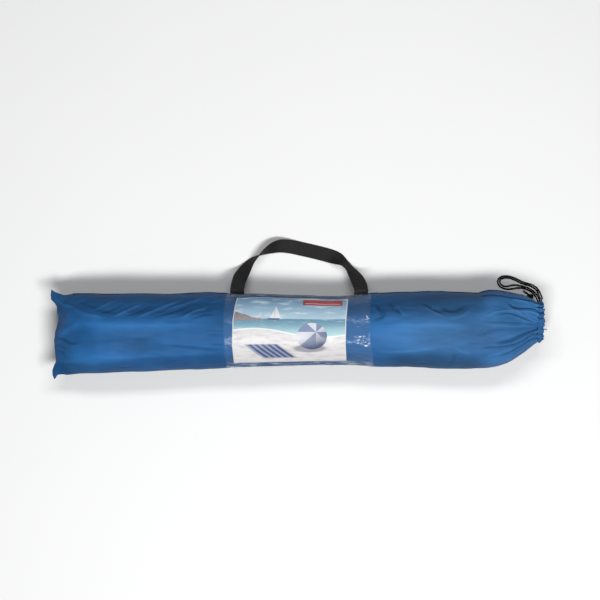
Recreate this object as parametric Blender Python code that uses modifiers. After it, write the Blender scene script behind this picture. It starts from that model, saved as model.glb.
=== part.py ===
"""A beach tent packed in its drawstring carry bag, lying on its side with the label up.

Metres, +Z up. +X runs along the bag to its gathered mouth, +Y is the side of the handle.
"""

import math

import bmesh
import bpy
from mathutils import Vector

# Fits shared by all pieces
GAP = 0.0003
CUT_OVERRUN = 0.002

# The carry bag
BAG_LENGTH = 0.6993
BAG_HALF_WIDTH = 0.0565
BAG_HALF_HEIGHT = 0.048
BAG_WALL = 0.0012
EAR_REACH = 0.0067
LOWER_EAR_REACH = 0.0040
EAR_DEPTH = 0.020
SEAM_CLOSURE = 0.006

# Where each ear starts across the end seam and how soon it is whole, as shares of the width
EAR_START_SHARE = 0.62
EAR_RISE_SHARE = 0.25
LOWER_EAR_START_SHARE = 0.78
LOWER_EAR_RISE_SHARE = 0.17

# Stations along the bag from its end seam to the gathers: place, middle line, half width,
# half height and height of the middle line, as shares of the body length, half width,
# half width, half height and half height
STATION_SHARES = (
    (0.0000, -0.087, 1.138, 0.046, 0.900),
    (0.0093, -0.072, 1.065, 0.300, 0.900),
    (0.0218, -0.080, 1.005, 0.500, 0.905),
    (0.0467, -0.076, 1.000, 0.780, 0.920),
    (0.0820, -0.060, 1.000, 0.950, 0.935),
    (0.1330, -0.040, 0.995, 1.000, 0.950),
    (0.3330, 0.025, 0.961, 0.960, 0.912),
    (0.4139, 0.025, 0.936, 0.930, 0.884),
    (0.5508, 0.012, 0.873, 0.875, 0.831),
    (0.6130, 0.025, 0.886, 0.885, 0.841),
    (0.6640, 0.044, 0.943, 0.930, 0.884),
    (0.8185, 0.037, 0.974, 0.975, 0.926),
    (0.8932, 0.064, 0.974, 0.970, 0.920),
    (0.9180, 0.088, 0.949, 0.940, 0.905),
    (0.9430, 0.113, 0.873, 0.865, 0.880),
    (0.9680, 0.177, 0.759, 0.750, 0.840),
    (0.9845, 0.220, 0.640, 0.655, 0.810),
    (1.0000, 0.225, 0.487, 0.542, 0.792),
)
RING_ANGLES = 36

# Where the tapering neck of the bag's cloth begins, which is a piece of its own
NECK_START_SHARE = 0.925

# The hem that holds the drawcord
HEM_LENGTH = 0.0097
HEM_PLY = 0.0010
EYELET_LENGTH = 0.0056
EYELET_HEIGHT = 0.0030

# The drawcord, its free strands written from the eyelet at floor level
CORD_DIAMETER = 0.0021
CORD_STEP = 0.0056
PARTS_PER_SPAN = 10
STRAND_A_ROUTE = (
    (0.0013, -0.0025, 0.0380),
    (0.0013, 0.0002, 0.0379),
    (0.0016, 0.0026, 0.0368),
    (0.0022, 0.0044, 0.0345),
    (0.0030, 0.0054, 0.0312),
    (0.0037, 0.0060, 0.0262),
    (0.0042, 0.0074, 0.0180),
    (0.0040, 0.0104, 0.0098),
    (0.0025, 0.0148, 0.0038),
    (-0.0009, 0.0206, 0.0013),
    (-0.0048, 0.0239, 0.0012),
    (-0.0092, 0.0263, 0.0012),
    (-0.0145, 0.0278, 0.0012),
    (-0.0230, 0.0306, 0.0012),
    (-0.0308, 0.0345, 0.0012),
    (-0.0383, 0.0375, 0.0012),
    (-0.0444, 0.0385, 0.0012),
    (-0.0509, 0.0384, 0.0012),
    (-0.0552, 0.0364, 0.0012),
    (-0.0578, 0.0333, 0.0012),
    (-0.0584, 0.0302, 0.0012),
    (-0.0572, 0.0267, 0.0012),
    (-0.0546, 0.0236, 0.0012),
    (-0.0506, 0.0215, 0.0012),
    (-0.0466, 0.0202, 0.0012),
    (-0.0422, 0.0199, 0.0012),
    (-0.0353, 0.0209, 0.0012),
    (-0.0306, 0.0216, 0.0012),
    (-0.0225, 0.0215, 0.0012),
    (-0.0169, 0.0197, 0.0012),
    (-0.0117, 0.0173, 0.0012),
    (-0.0072, 0.0140, 0.0012),
    (-0.0035, 0.0093, 0.0012),
    (-0.0010, 0.0041, 0.0012),
    (0.0003, -0.0010, 0.0012),
    (-0.0010, -0.0046, 0.0012),
    (-0.0047, -0.0061, 0.0012),
    (-0.0084, -0.0046, 0.0012),
    (-0.0098, -0.0008, 0.0012),
    (-0.0103, 0.0038, 0.0018),
)
STRAND_B_ROUTE = (
    (-0.0013, -0.0025, 0.0380),
    (-0.0013, 0.0002, 0.0379),
    (-0.0011, 0.0026, 0.0368),
    (-0.0006, 0.0043, 0.0345),
    (0.0002, 0.0052, 0.0312),
    (0.0010, 0.0057, 0.0262),
    (0.0016, 0.0068, 0.0178),
    (0.0014, 0.0094, 0.0096),
    (0.0001, 0.0132, 0.0038),
    (-0.0023, 0.0183, 0.0013),
    (-0.0061, 0.0216, 0.0012),
    (-0.0101, 0.0238, 0.0012),
    (-0.0152, 0.0254, 0.0012),
    (-0.0238, 0.0281, 0.0012),
    (-0.0317, 0.0320, 0.0012),
    (-0.0387, 0.0349, 0.0012),
    (-0.0445, 0.0361, 0.0012),
    (-0.0500, 0.0358, 0.0012),
    (-0.0536, 0.0343, 0.0012),
    (-0.0553, 0.0312, 0.0012),
    (-0.0543, 0.0278, 0.0012),
    (-0.0515, 0.0254, 0.0012),
    (-0.0480, 0.0242, 0.0012),
    (-0.0442, 0.0241, 0.0012),
    (-0.0396, 0.0252, 0.0012),
    (-0.0344, 0.0260, 0.0012),
    (-0.0292, 0.0255, 0.0012),
    (-0.0220, 0.0239, 0.0012),
    (-0.0158, 0.0222, 0.0012),
    (-0.0107, 0.0197, 0.0012),
    (-0.0053, 0.0158, 0.0012),
    (-0.0011, 0.0105, 0.0012),
    (0.0018, 0.0049, 0.0012),
    (0.0029, -0.0010, 0.0012),
    (0.0007, -0.0064, 0.0012),
    (-0.0047, -0.0087, 0.0012),
    (-0.0101, -0.0064, 0.0012),
    (-0.0124, -0.0008, 0.0012),
    (-0.0129, 0.0038, 0.0018),
)
KNOT_WIDTH = 0.0094
KNOT_HEIGHT = 0.0080
TAIL_LENGTH = 0.0075
TAIL_HEADING_DEG = 155.0
TAIL_SPREAD_DEG = 17.0

# The side seam, a flat felled welt along the handle's side
SEAM_THICKNESS = 0.0006
SEAM_HEIGHT = 0.0050
SEAM_START_SHARE = 0.035
SEAM_END_SHARE = 0.975

# The clear sleeve, which reaches past its slots for the handle, and the card under it
SLEEVE_LEFT_MARGIN = 0.00455
SLEEVE_RIGHT_MARGIN = 0.00115
SLEEVE_THICKNESS = 0.00025
SLEEVE_RAMP = 0.004
FLOOR_CLEARANCE = 0.0002
SLOT_CLEARANCE = 0.0030
SLOT_HEIGHT = 0.0100
CARD_LENGTH = 0.1616
CARD_MARGIN = 0.0122
CARD_THICKNESS = 0.0003
CARD_FIRST_ANGLE = 2

# The webbing handle: places along it, as shares of the span and of the reach, and its roll
WEBBING_WIDTH = 0.020
WEBBING_THICKNESS = 0.0015
HANDLE_SPAN = 0.1771
HANDLE_CENTRE_X = -0.0002
HANDLE_REACH = 0.0624
HANDLE_STANDOFF = 0.0035
HANDLE_ROOT_DROP = 0.0040
HANDLE_DROP_LENGTH = 0.036
HANDLE_DROP_START_SHARE = 0.18
HANDLE_REST_GAP = 0.0002
TAB_GAP = 0.0009
TACK_HEIGHT = 0.0012
TACK_THICKNESS = 0.0006
HANDLE_SHARES = (
    (0.000, 0.000, 0.0),
    (0.004, 0.080, 0.0),
    (0.010, 0.176, 0.0),
    (0.024, 0.284, 8.0),
    (0.048, 0.405, 25.0),
    (0.082, 0.545, 46.0),
    (0.124, 0.672, 67.0),
    (0.172, 0.775, 88.0),
    (0.225, 0.875, 112.0),
    (0.290, 0.962, 140.0),
    (0.350, 1.000, 160.0),
    (0.430, 0.985, 175.0),
    (0.514, 0.935, 180.0),
    (0.634, 0.857, 180.0),
    (0.750, 0.770, 184.0),
    (0.815, 0.700, 205.0),
    (0.868, 0.600, 235.0),
    (0.912, 0.480, 238.0),
    (0.948, 0.345, 215.0),
    (0.975, 0.205, 192.0),
    (0.992, 0.090, 180.0),
    (1.000, 0.000, 180.0),
)

# The rolled tent: room round the poles in its hollow core, layers and the length of the roll
CORE_SIDE_CLEARANCE = 0.0022
CORE_HEIGHT_CLEARANCE = 0.0059
CORE_DROP = 0.0050
ROLL_START_SHARE = 0.060
ROLL_END_SHARE = 0.943
LAYER_GAP = 0.0004
LAYER_TURNS = 4
ANGLES_PER_TURN = 18
GROUNDSHEET_STEPS = (3, 34)
CANOPY_STEPS = (35, 69)

# The poles: two shock-corded poles of four sections each
POLES = 2
SECTIONS_PER_POLE = 4
POLE_START_MARGIN = 0.0438
POLE_END_MARGIN = 0.0655
SECTION_DIAMETER = 0.0070
SECTION_BORE = 0.0037
FERRULE_LENGTH = 0.045
FERRULE_DIAMETER = 0.0095
FERRULE_FIT = 0.0002
POLE_SPACING = 0.0004
SHOCK_CORD_DIAMETER = 0.0026
PIN_FIT = 0.0003
PIN_LENGTH = 0.028
PIN_SHOULDER = 0.0012
PIN_INSERTION = 0.012
ROUND_SIDES = 12
BEND_STEPS = 6

# Steel pegs
PEG_DIAMETER = 0.0035
PEG_LENGTH = 0.180
PEG_POINT_LENGTH = 0.014
PEG_POINT_SHARE = 0.22
HOOK_RADIUS = 0.0040
HOOK_RETURN = 0.009
PEG_SEAT_GAP = 0.0005
PEG_STAGGER = 0.016
PEG_GROUPS = 2
PEG_START_MARGIN = 0.010
PEG_GROUP_GAP = 0.007
PEG_ROW_STEP_DEG = 24.0
PEG_ROW = ((-48.0, 0), (-24.0, 1), (48.0, 2), (24.0, 3))
LOOSE_PEG_Y = 0.0021
LOOSE_PEG_SHOWS = 0.0050
LOOSE_HOOK_TILT_DEG = 25.0

# Guy lines, wound into hanks
HANK_LENGTH = 0.090
HANK_WIDTH = 0.019
HANK_THICKNESS = 0.0058
HANK_ROUNDING_SHARE = 0.45
HANK_CENTRE_SHARES = (0.267, 0.664)

# Worked out from the sizes above
BODY_LENGTH = BAG_LENGTH - HEM_LENGTH - GAP
SEAM_X = -BAG_LENGTH / 2 + (EAR_REACH - LOOSE_PEG_SHOWS) / 2
MOUTH_X = SEAM_X + BAG_LENGTH
HEM_X = MOUTH_X - HEM_LENGTH
CORD_RADIUS = CORD_DIAMETER / 2
CHANNEL_DEPTH = CORD_DIAMETER + 2 * GAP
HEM_DEPTH = 2 * HEM_PLY + CHANNEL_DEPTH
CHANNEL_MIDDLE = HEM_PLY + CHANNEL_DEPTH / 2
EYELET_X = HEM_X + (HEM_LENGTH - HEM_PLY) / 2
SEAM_OFFSET = GAP
SLEEVE_OFFSET = SEAM_OFFSET + SEAM_THICKNESS + GAP
SLOT_LENGTH = WEBBING_WIDTH + 2 * SLOT_CLEARANCE
SLOT_REACH = (HANDLE_SPAN + SLOT_LENGTH) / 2
SLEEVE_START = HANDLE_CENTRE_X - SLOT_REACH - SLEEVE_LEFT_MARGIN
SLEEVE_END = HANDLE_CENTRE_X + SLOT_REACH + SLEEVE_RIGHT_MARGIN
WAIST_LIFT = SLEEVE_OFFSET + SLEEVE_THICKNESS + FLOOR_CLEARANCE
ROLL_INSET = BAG_WALL + GAP
POLE_PITCH = FERRULE_DIAMETER + POLE_SPACING
SECTION_LENGTH = BODY_LENGTH - POLE_START_MARGIN - POLE_END_MARGIN
SECTION_START_X = SEAM_X + POLE_START_MARGIN
PIN_DIAMETER = SECTION_BORE - 2 * PIN_FIT
PEG_RADIUS = PEG_DIAMETER / 2
CORE_HALF_WIDTH = SECTIONS_PER_POLE * POLE_PITCH / 2 + CORE_SIDE_CLEARANCE
CORE_STACK = PEG_DIAMETER + POLES * POLE_PITCH + HANK_THICKNESS
CORE_HALF_HEIGHT = (CORE_STACK + CORE_HEIGHT_CLEARANCE) / 2
CORE_CENTRE_Z = BAG_HALF_HEIGHT - CORE_DROP
LOWER_REACH = BAG_HALF_WIDTH * (STATION_SHARES[0][2] - STATION_SHARES[0][1])
HANDLE_ROOT_Y = BAG_HALF_WIDTH + HANDLE_STANDOFF
HANDLE_ROOT_Z = BAG_HALF_HEIGHT - HANDLE_ROOT_DROP
HANDLE_EDGE_Y = HANDLE_ROOT_Y + HANDLE_REACH + WEBBING_WIDTH / 2
AXIS_Y = (LOWER_REACH - HANDLE_EDGE_Y) / 2


def lerp(a, b, t):
    return a + (b - a) * t


def smooth_step(t):
    t = min(max(t, 0.0), 1.0)
    return t * t * (3 - 2 * t)


def clear_scene():
    for old in list(bpy.data.objects):
        bpy.data.objects.remove(old, do_unlink=True)


def make_collection(name):
    collection = bpy.data.collections.new(name)
    bpy.context.scene.collection.children.link(collection)
    return collection


clear_scene()
TENT = make_collection("beach_tent")
CUTTERS = make_collection("cutters")
BAG_AXIS = bpy.data.objects.new("bag_axis", None)
TENT.objects.link(BAG_AXIS)
BAG_AXIS.location = (0, AXIS_Y, 0)


def make_material(name, colour, roughness, metallic=0.0, alpha=1.0):
    material = bpy.data.materials.new(name)
    material.use_nodes = True
    shader = material.node_tree.nodes["Principled BSDF"]
    shader.inputs["Base Color"].default_value = (*colour, 1)
    shader.inputs["Roughness"].default_value = roughness
    shader.inputs["Metallic"].default_value = metallic
    shader.inputs["Alpha"].default_value = alpha
    material.diffuse_color = (*colour, alpha)
    return material


BAG_CLOTH = make_material("bag_cloth", (0.045, 0.15, 0.38), 0.5)
SEAM_CLOTH = make_material("seam_cloth", (0.035, 0.12, 0.32), 0.55)
HEM_CLOTH = make_material("hem_cloth", (0.04, 0.14, 0.36), 0.5)
BLACK_CORD = make_material("black_cord", (0.012, 0.011, 0.011), 0.8)
BLACK_WEBBING = make_material("black_webbing", (0.015, 0.015, 0.016), 0.6)
BLACK_THREAD = make_material("black_thread", (0.02, 0.02, 0.02), 0.7)
CLEAR_FILM = make_material("clear_film", (0.85, 0.9, 0.95), 0.15, 0.0, 0.25)
PRINTED_CARD = make_material("printed_card", (0.75, 0.78, 0.8), 0.35)
CANOPY_CLOTH = make_material("canopy_cloth", (0.06, 0.18, 0.42), 0.5)
GROUND_CLOTH = make_material("ground_cloth", (0.25, 0.3, 0.36), 0.6)
FIBREGLASS = make_material("fibreglass", (0.03, 0.03, 0.032), 0.35)
FERRULE_METAL = make_material("ferrule_metal", (0.7, 0.71, 0.72), 0.3, 1.0)
ELASTIC = make_material("elastic", (0.8, 0.8, 0.78), 0.8)
PIN_METAL = make_material("pin_metal", (0.55, 0.55, 0.56), 0.3, 1.0)
PEG_METAL = make_material("peg_metal", (0.5, 0.51, 0.52), 0.35, 1.0)
GUY_CORD = make_material("guy_cord", (0.7, 0.7, 0.68), 0.8)


def add_object(name, data, material):
    data.materials.append(material)
    piece = bpy.data.objects.new(name, data)
    TENT.objects.link(piece)
    piece.parent = BAG_AXIS
    return piece


def add_mesh(name, builder, material, smooth=False):
    """Closes a bmesh into a named object, its faces turned outwards."""
    bmesh.ops.recalc_face_normals(builder, faces=builder.faces)
    mesh = bpy.data.meshes.new(name)
    builder.to_mesh(mesh)
    builder.free()
    if smooth:
        mesh.shade_smooth()
    return add_object(name, mesh, material)


def add_cutter(name, size, location):
    builder = bmesh.new()
    bmesh.ops.create_cube(builder, size=1)
    bmesh.ops.scale(builder, vec=size, verts=builder.verts)
    mesh = bpy.data.meshes.new(name)
    builder.to_mesh(mesh)
    builder.free()
    cutter = bpy.data.objects.new(name, mesh)
    CUTTERS.objects.link(cutter)
    cutter.parent = BAG_AXIS
    cutter.location = location
    cutter.hide_render = True
    cutter.display_type = "WIRE"
    return cutter


def combine(target, other, operation):
    modifier = target.modifiers.new(other.name, "BOOLEAN")
    modifier.object = other
    modifier.operation = operation
    modifier.solver = "EXACT"


def loft(name, rings, material, closed=False, smooth=False):
    """Joins rings of points into a solid. Point k of a ring lies opposite its k-th last point,
    and that is how the caps are laddered where the loft isn't closed on itself."""
    builder = bmesh.new()
    rows = [[builder.verts.new(point) for point in ring] for ring in rings]
    count = len(rows[0])
    pairs = list(zip(rows, rows[1:]))
    if closed:
        pairs.append((rows[-1], rows[0]))
    for first, second in pairs:
        for k in range(count):
            after = (k + 1) % count
            builder.faces.new((first[k], first[after], second[after], second[k]))
    if not closed:
        for row in (rows[0], rows[-1]):
            for k in range(count // 2 - 1):
                builder.faces.new((row[k], row[k + 1], row[-2 - k], row[-1 - k]))
    return add_mesh(name, builder, material, smooth)


def turned(name, profile, start, material, sides=ROUND_SIDES, closed=True):
    """A round piece along +X from its start: profile points are (radius, place along X)."""
    builder = bmesh.new()
    points = [builder.verts.new((radius, 0, place)) for radius, place in profile]
    for first, second in zip(points, points[1:]):
        builder.edges.new((first, second))
    if closed:
        builder.edges.new((points[-1], points[0]))
    mesh = bpy.data.meshes.new(name)
    builder.to_mesh(mesh)
    builder.free()
    piece = add_object(name, mesh, material)
    piece.location = start
    piece.rotation_euler = (0, math.radians(90), 0)
    screw = piece.modifiers.new("turn", "SCREW")
    screw.steps = sides
    screw.render_steps = sides
    screw.use_merge_vertices = True
    screw.merge_threshold = 0.00001
    screw.use_smooth_shade = True
    return piece


def wire(name, points, radius, material, cyclic=False, radii=None):
    curve = bpy.data.curves.new(name, "CURVE")
    curve.dimensions = "3D"
    curve.bevel_depth = radius
    curve.bevel_resolution = 2
    curve.use_fill_caps = True
    spline = curve.splines.new("POLY")
    spline.points.add(len(points) - 1)
    for k, point in enumerate(points):
        spline.points[k].co = (*point, 1)
        if radii:
            spline.points[k].radius = radii[k]
    spline.use_cyclic_u = cyclic
    return add_object(name, curve, material)


def smooth_route(route, origin, step):
    """Points a step apart along the smooth curve through a route's own points."""
    points = [Vector(point) + Vector(origin) for point in route]
    fine = []
    for k in range(len(points) - 1):
        before = points[max(k - 1, 0)]
        start, end = points[k], points[k + 1]
        after = points[min(k + 2, len(points) - 1)]
        for part in range(PARTS_PER_SPAN):
            t = part / PARTS_PER_SPAN
            fine.append(
                0.5
                * (
                    2 * start
                    + (end - before) * t
                    + (2 * before - 5 * start + 4 * end - after) * t**2
                    + (3 * start - before - 3 * end + after) * t**3
                )
            )
    fine.append(points[-1])
    total = sum((b - a).length for a, b in zip(fine, fine[1:]))
    count = round(total / step)
    even, walked, target = [fine[0]], 0.0, total / count
    for a, b in zip(fine, fine[1:]):
        length = (b - a).length
        while walked + length >= target and len(even) < count:
            even.append(a.lerp(b, (target - walked) / length))
            target += total / count
        walked += length
    even.append(fine[-1])
    return even


# The bag's shape, shared by everything that follows it


def bag_row(x):
    """Middle line, half width, half height, middle height and floor of the bag at x."""
    share = (x - SEAM_X) / BODY_LENGTH
    share = min(max(share, 0.0), 1.0)
    for low, high in zip(STATION_SHARES, STATION_SHARES[1:]):
        if share <= high[0]:
            break
    t = (share - low[0]) / (high[0] - low[0])
    _, middle, width, height, middle_height = (lerp(a, b, t) for a, b in zip(low, high))
    lift = WAIST_LIFT * min(
        min(max((x - SLEEVE_START) / SLEEVE_RAMP + 2, 0.0), 1.0),
        min(max((SLEEVE_END - x) / SLEEVE_RAMP + 2, 0.0), 1.0),
    )
    return (
        middle * BAG_HALF_WIDTH,
        width * BAG_HALF_WIDTH,
        height * BAG_HALF_HEIGHT,
        middle_height * BAG_HALF_HEIGHT + lift,
        lift,
    )


def ear_pull(x, across):
    """How far the end seam's corners reach back beyond the seam, by place across the bag."""
    fade = 1 - min(max((x - SEAM_X) / EAR_DEPTH, 0.0), 1.0)
    if across > 0:
        return EAR_REACH * fade * smooth_step((across - EAR_START_SHARE) / EAR_RISE_SHARE)
    rise = smooth_step((-across - LOWER_EAR_START_SHARE) / LOWER_EAR_RISE_SHARE)
    return LOWER_EAR_REACH * fade * rise


def bag_point(x, angle, inset):
    middle, half_width, half_height, middle_height, floor = bag_row(x)
    y = middle + (half_width - inset) * math.cos(angle)
    z = middle_height + (half_height - inset) * math.sin(angle)
    return (x - ear_pull(x, math.cos(angle)), y, max(z, floor + inset))


def bag_ring(x, inset):
    return [bag_point(x, ring_angle(k), inset) for k in range(RING_ANGLES)]


def ring_angle(k):
    """Half-step angles put a flat facet at each side and a pair of points either side of it."""
    return (k + 0.5) * math.tau / RING_ANGLES


def stations(start, end):
    """Every station of the bag from start to end, both included."""
    places = [SEAM_X + BODY_LENGTH * row[0] for row in STATION_SHARES]
    places += [SLEEVE_START - 2 * SLEEVE_RAMP, SLEEVE_START - SLEEVE_RAMP]
    places += [SLEEVE_END + SLEEVE_RAMP, SLEEVE_END + 2 * SLEEVE_RAMP]
    inside = [x for x in places if start + GAP < x < end - GAP]
    return sorted([start, end] + inside)


def bag_x(share):
    return SEAM_X + BODY_LENGTH * share


def side_y(x, inset):
    """Where the flat facet on the handle's side lies."""
    return bag_point(x, ring_angle(0), inset)[1]


def make_bag_cloth():
    """The bag as far as its neck, closed by the end seam, and the neck, open at both ends."""
    neck_x, end = bag_x(NECK_START_SHARE), SEAM_X + BODY_LENGTH
    outside = [bag_ring(x, 0) for x in stations(SEAM_X, neck_x)]
    inside = [bag_ring(x, BAG_WALL) for x in stations(SEAM_X + SEAM_CLOSURE, neck_x)]
    loft("bag_body", outside + inside[::-1], BAG_CLOTH, smooth=True)
    outside = [bag_ring(x, 0) for x in stations(neck_x + GAP, end)]
    inside = [bag_ring(x, BAG_WALL) for x in stations(neck_x + GAP, end)]
    loft("bag_neck", outside + inside[::-1], BAG_CLOTH, closed=True, smooth=True)


def make_side_seams():
    """The seam shows on both sides of the sleeve and runs on under it."""
    rings = []
    for x in stations(bag_x(SEAM_START_SHARE), bag_x(SEAM_END_SHARE)):
        low = side_y(x, -SEAM_OFFSET)
        high = side_y(x, -SEAM_OFFSET - SEAM_THICKNESS)
        z = bag_row(x)[3]
        rings.append(
            [
                (x, low, z - SEAM_HEIGHT / 2),
                (x, low, z + SEAM_HEIGHT / 2),
                (x, high, z + SEAM_HEIGHT / 2),
                (x, high, z - SEAM_HEIGHT / 2),
            ]
        )
    loft("side_seam", rings, SEAM_CLOTH)


def mouth_point(x, angle, inset):
    end = SEAM_X + BODY_LENGTH
    middle, half_width, half_height, middle_height, _ = bag_row(end)
    y = middle + (half_width - inset) * math.cos(angle)
    z = middle_height + (half_height - inset) * math.sin(angle)
    return (x, y, z)


def make_hem():
    """Two plies folded over at the lip, with the drawcord's channel between them."""
    near, lip = HEM_X, MOUTH_X
    profile = (
        (near, 0),
        (lip, 0),
        (lip, HEM_DEPTH),
        (near, HEM_DEPTH),
        (near, HEM_DEPTH - HEM_PLY),
        (lip - HEM_PLY, HEM_DEPTH - HEM_PLY),
        (lip - HEM_PLY, HEM_PLY),
        (near, HEM_PLY),
    )
    rings = [
        [mouth_point(x, ring_angle(k), inset) for x, inset in profile]
        for k in range(RING_ANGLES)
    ]
    hem = loft("mouth_hem", rings, HEM_CLOTH, closed=True, smooth=True)
    outer = mouth_point(EYELET_X, 0, 0)
    depth = HEM_PLY + CHANNEL_DEPTH / 2 + CUT_OVERRUN
    eyelet = add_cutter(
        "eyelet_cutter",
        (EYELET_LENGTH, depth, EYELET_HEIGHT),
        (EYELET_X, outer[1] + CUT_OVERRUN - depth / 2, outer[2]),
    )
    combine(hem, eyelet, "DIFFERENCE")


def make_drawcord():
    half_width = bag_row(SEAM_X + BODY_LENGTH)[1] - CHANNEL_MIDDLE
    opening = math.asin((CORD_RADIUS + GAP) / half_width)
    turns = [opening] + [ring_angle(k) for k in range(RING_ANGLES)]
    turns.append(math.tau - opening)
    ring = [mouth_point(EYELET_X, angle, CHANNEL_MIDDLE) for angle in turns]
    wire("drawcord_in_hem", ring, CORD_RADIUS, BLACK_CORD)
    _, exit_y, exit_z = mouth_point(EYELET_X, 0, 0)
    exit_point = (EYELET_X, exit_y, exit_z - STRAND_A_ROUTE[0][2])
    for name, route in (
        ("drawcord_strand_a", STRAND_A_ROUTE),
        ("drawcord_strand_b", STRAND_B_ROUTE),
    ):
        points = smooth_route(route, exit_point, CORD_STEP)
        wire(name, points, CORD_RADIUS, BLACK_CORD)
    make_knot(exit_point)


def make_knot(exit_point):
    """The knot that ties both strands, with two short tails."""
    ends = Vector(STRAND_A_ROUTE[-1]) + Vector(STRAND_B_ROUTE[-1])
    centre = Vector(exit_point) + ends / 2
    centre.y += KNOT_WIDTH / 2 + GAP
    centre.z = KNOT_HEIGHT / 2 + FLOOR_CLEARANCE
    builder = bmesh.new()
    bmesh.ops.create_uvsphere(builder, u_segments=12, v_segments=8, radius=0.5)
    bmesh.ops.scale(
        builder, vec=(KNOT_WIDTH, KNOT_WIDTH, KNOT_HEIGHT), verts=builder.verts
    )
    knot = add_mesh("drawcord_knot", builder, BLACK_CORD, smooth=True)
    knot.location = centre
    for side in (-1, 1):
        builder = bmesh.new()
        bmesh.ops.create_cone(
            builder,
            cap_ends=True,
            segments=8,
            radius1=CORD_RADIUS,
            radius2=CORD_RADIUS,
            depth=TAIL_LENGTH + KNOT_WIDTH / 2,
        )
        mesh = bpy.data.meshes.new("tail")
        builder.to_mesh(mesh)
        builder.free()
        tail = bpy.data.objects.new("tail", mesh)
        CUTTERS.objects.link(tail)
        tail.parent = BAG_AXIS
        heading = math.radians(TAIL_HEADING_DEG + side * TAIL_SPREAD_DEG)
        direction = Vector((math.cos(heading), math.sin(heading), 0))
        tail.location = centre + direction * (TAIL_LENGTH + KNOT_WIDTH / 2) / 2
        tail.location.z = centre.z - side * CORD_RADIUS / 2
        tail.rotation_euler = (0, math.radians(90), heading)
        tail.hide_render = True
        tail.display_type = "WIRE"
        combine(knot, tail, "UNION")


def make_sleeve():
    places = stations(SLEEVE_START, SLEEVE_END)
    outside = [bag_ring(x, -SLEEVE_OFFSET - SLEEVE_THICKNESS) for x in places]
    inside = [bag_ring(x, -SLEEVE_OFFSET) for x in places]
    sleeve = loft(
        "sleeve_film", outside + inside[::-1], CLEAR_FILM, closed=True, smooth=True
    )
    for side in (-1, 1):
        x = HANDLE_CENTRE_X + side * HANDLE_SPAN / 2
        slot = add_cutter(
            "sleeve_slot_cutter",
            (SLOT_LENGTH, BAG_HALF_WIDTH, SLOT_HEIGHT),
            (x, HANDLE_ROOT_Y, HANDLE_ROOT_Z),
        )
        combine(sleeve, slot, "DIFFERENCE")


def make_card():
    start = SLEEVE_START + CARD_MARGIN
    end = start + CARD_LENGTH
    angles = range(CARD_FIRST_ANGLE, RING_ANGLES // 2 - CARD_FIRST_ANGLE)
    builder = bmesh.new()
    rows = []
    for x in stations(start, end):
        row = [bag_point(x, ring_angle(k), -GAP) for k in angles]
        rows.append([builder.verts.new(point) for point in row])
    for first, second in zip(rows, rows[1:]):
        for k in range(len(first) - 1):
            builder.faces.new((first[k], first[k + 1], second[k + 1], second[k]))
    mesh = bpy.data.meshes.new("label_card")
    builder.to_mesh(mesh)
    builder.free()
    card = add_object("label_card", mesh, PRINTED_CARD)
    solidify = card.modifiers.new("card", "SOLIDIFY")
    solidify.thickness = CARD_THICKNESS
    solidify.offset = 1


def handle_stations():
    """Centre, width direction and face direction of the webbing along the handle."""
    half_drop = WEBBING_THICKNESS / 2 + HANDLE_REST_GAP
    centres = []
    for along, out, roll in HANDLE_SHARES:
        x = HANDLE_CENTRE_X + (along - 0.5) * HANDLE_SPAN
        y = HANDLE_ROOT_Y + out * HANDLE_REACH
        lift = abs(math.sin(math.radians(roll))) * WEBBING_WIDTH / 2
        fall = min(out * HANDLE_REACH / HANDLE_DROP_LENGTH, 1.0)
        dropped = smooth_step(lerp(HANDLE_DROP_START_SHARE, 1, fall))
        height = lerp(HANDLE_ROOT_Z, half_drop + lift, dropped)
        kept = smooth_step(HANDLE_DROP_START_SHARE) * (1 - fall)
        height += (HANDLE_ROOT_Z - half_drop) * kept
        centres.append(Vector((x, y, height)))
    result = []
    for k, centre in enumerate(centres):
        before = centres[max(k - 1, 0)]
        after = centres[min(k + 1, len(centres) - 1)]
        along = (after - before).normalized()
        if k in (0, len(centres) - 1):
            along.x = 0
            along.normalize()
        level = along.cross(Vector((0, 0, 1))).normalized()
        up = level.cross(along)
        roll = math.radians(HANDLE_SHARES[k][2])
        across = level * math.cos(roll) + up * math.sin(roll)
        result.append((centre, across, along.cross(across)))
    return result


def make_handle():
    """A flat webbing loop with a half turn, hinged where it leaves the side seam."""
    root = Vector((HANDLE_CENTRE_X, HANDLE_ROOT_Y, HANDLE_ROOT_Z))
    rings = []
    for centre, across, face in handle_stations():
        side = across * WEBBING_WIDTH / 2
        thick = face * WEBBING_THICKNESS / 2
        place = centre - root
        rings.append(
            [
                place + side + thick,
                place - side + thick,
                place - side - thick,
                place + side - thick,
            ]
        )
    handle = loft("handle_webbing", rings, BLACK_WEBBING)
    handle.location = root


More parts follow.
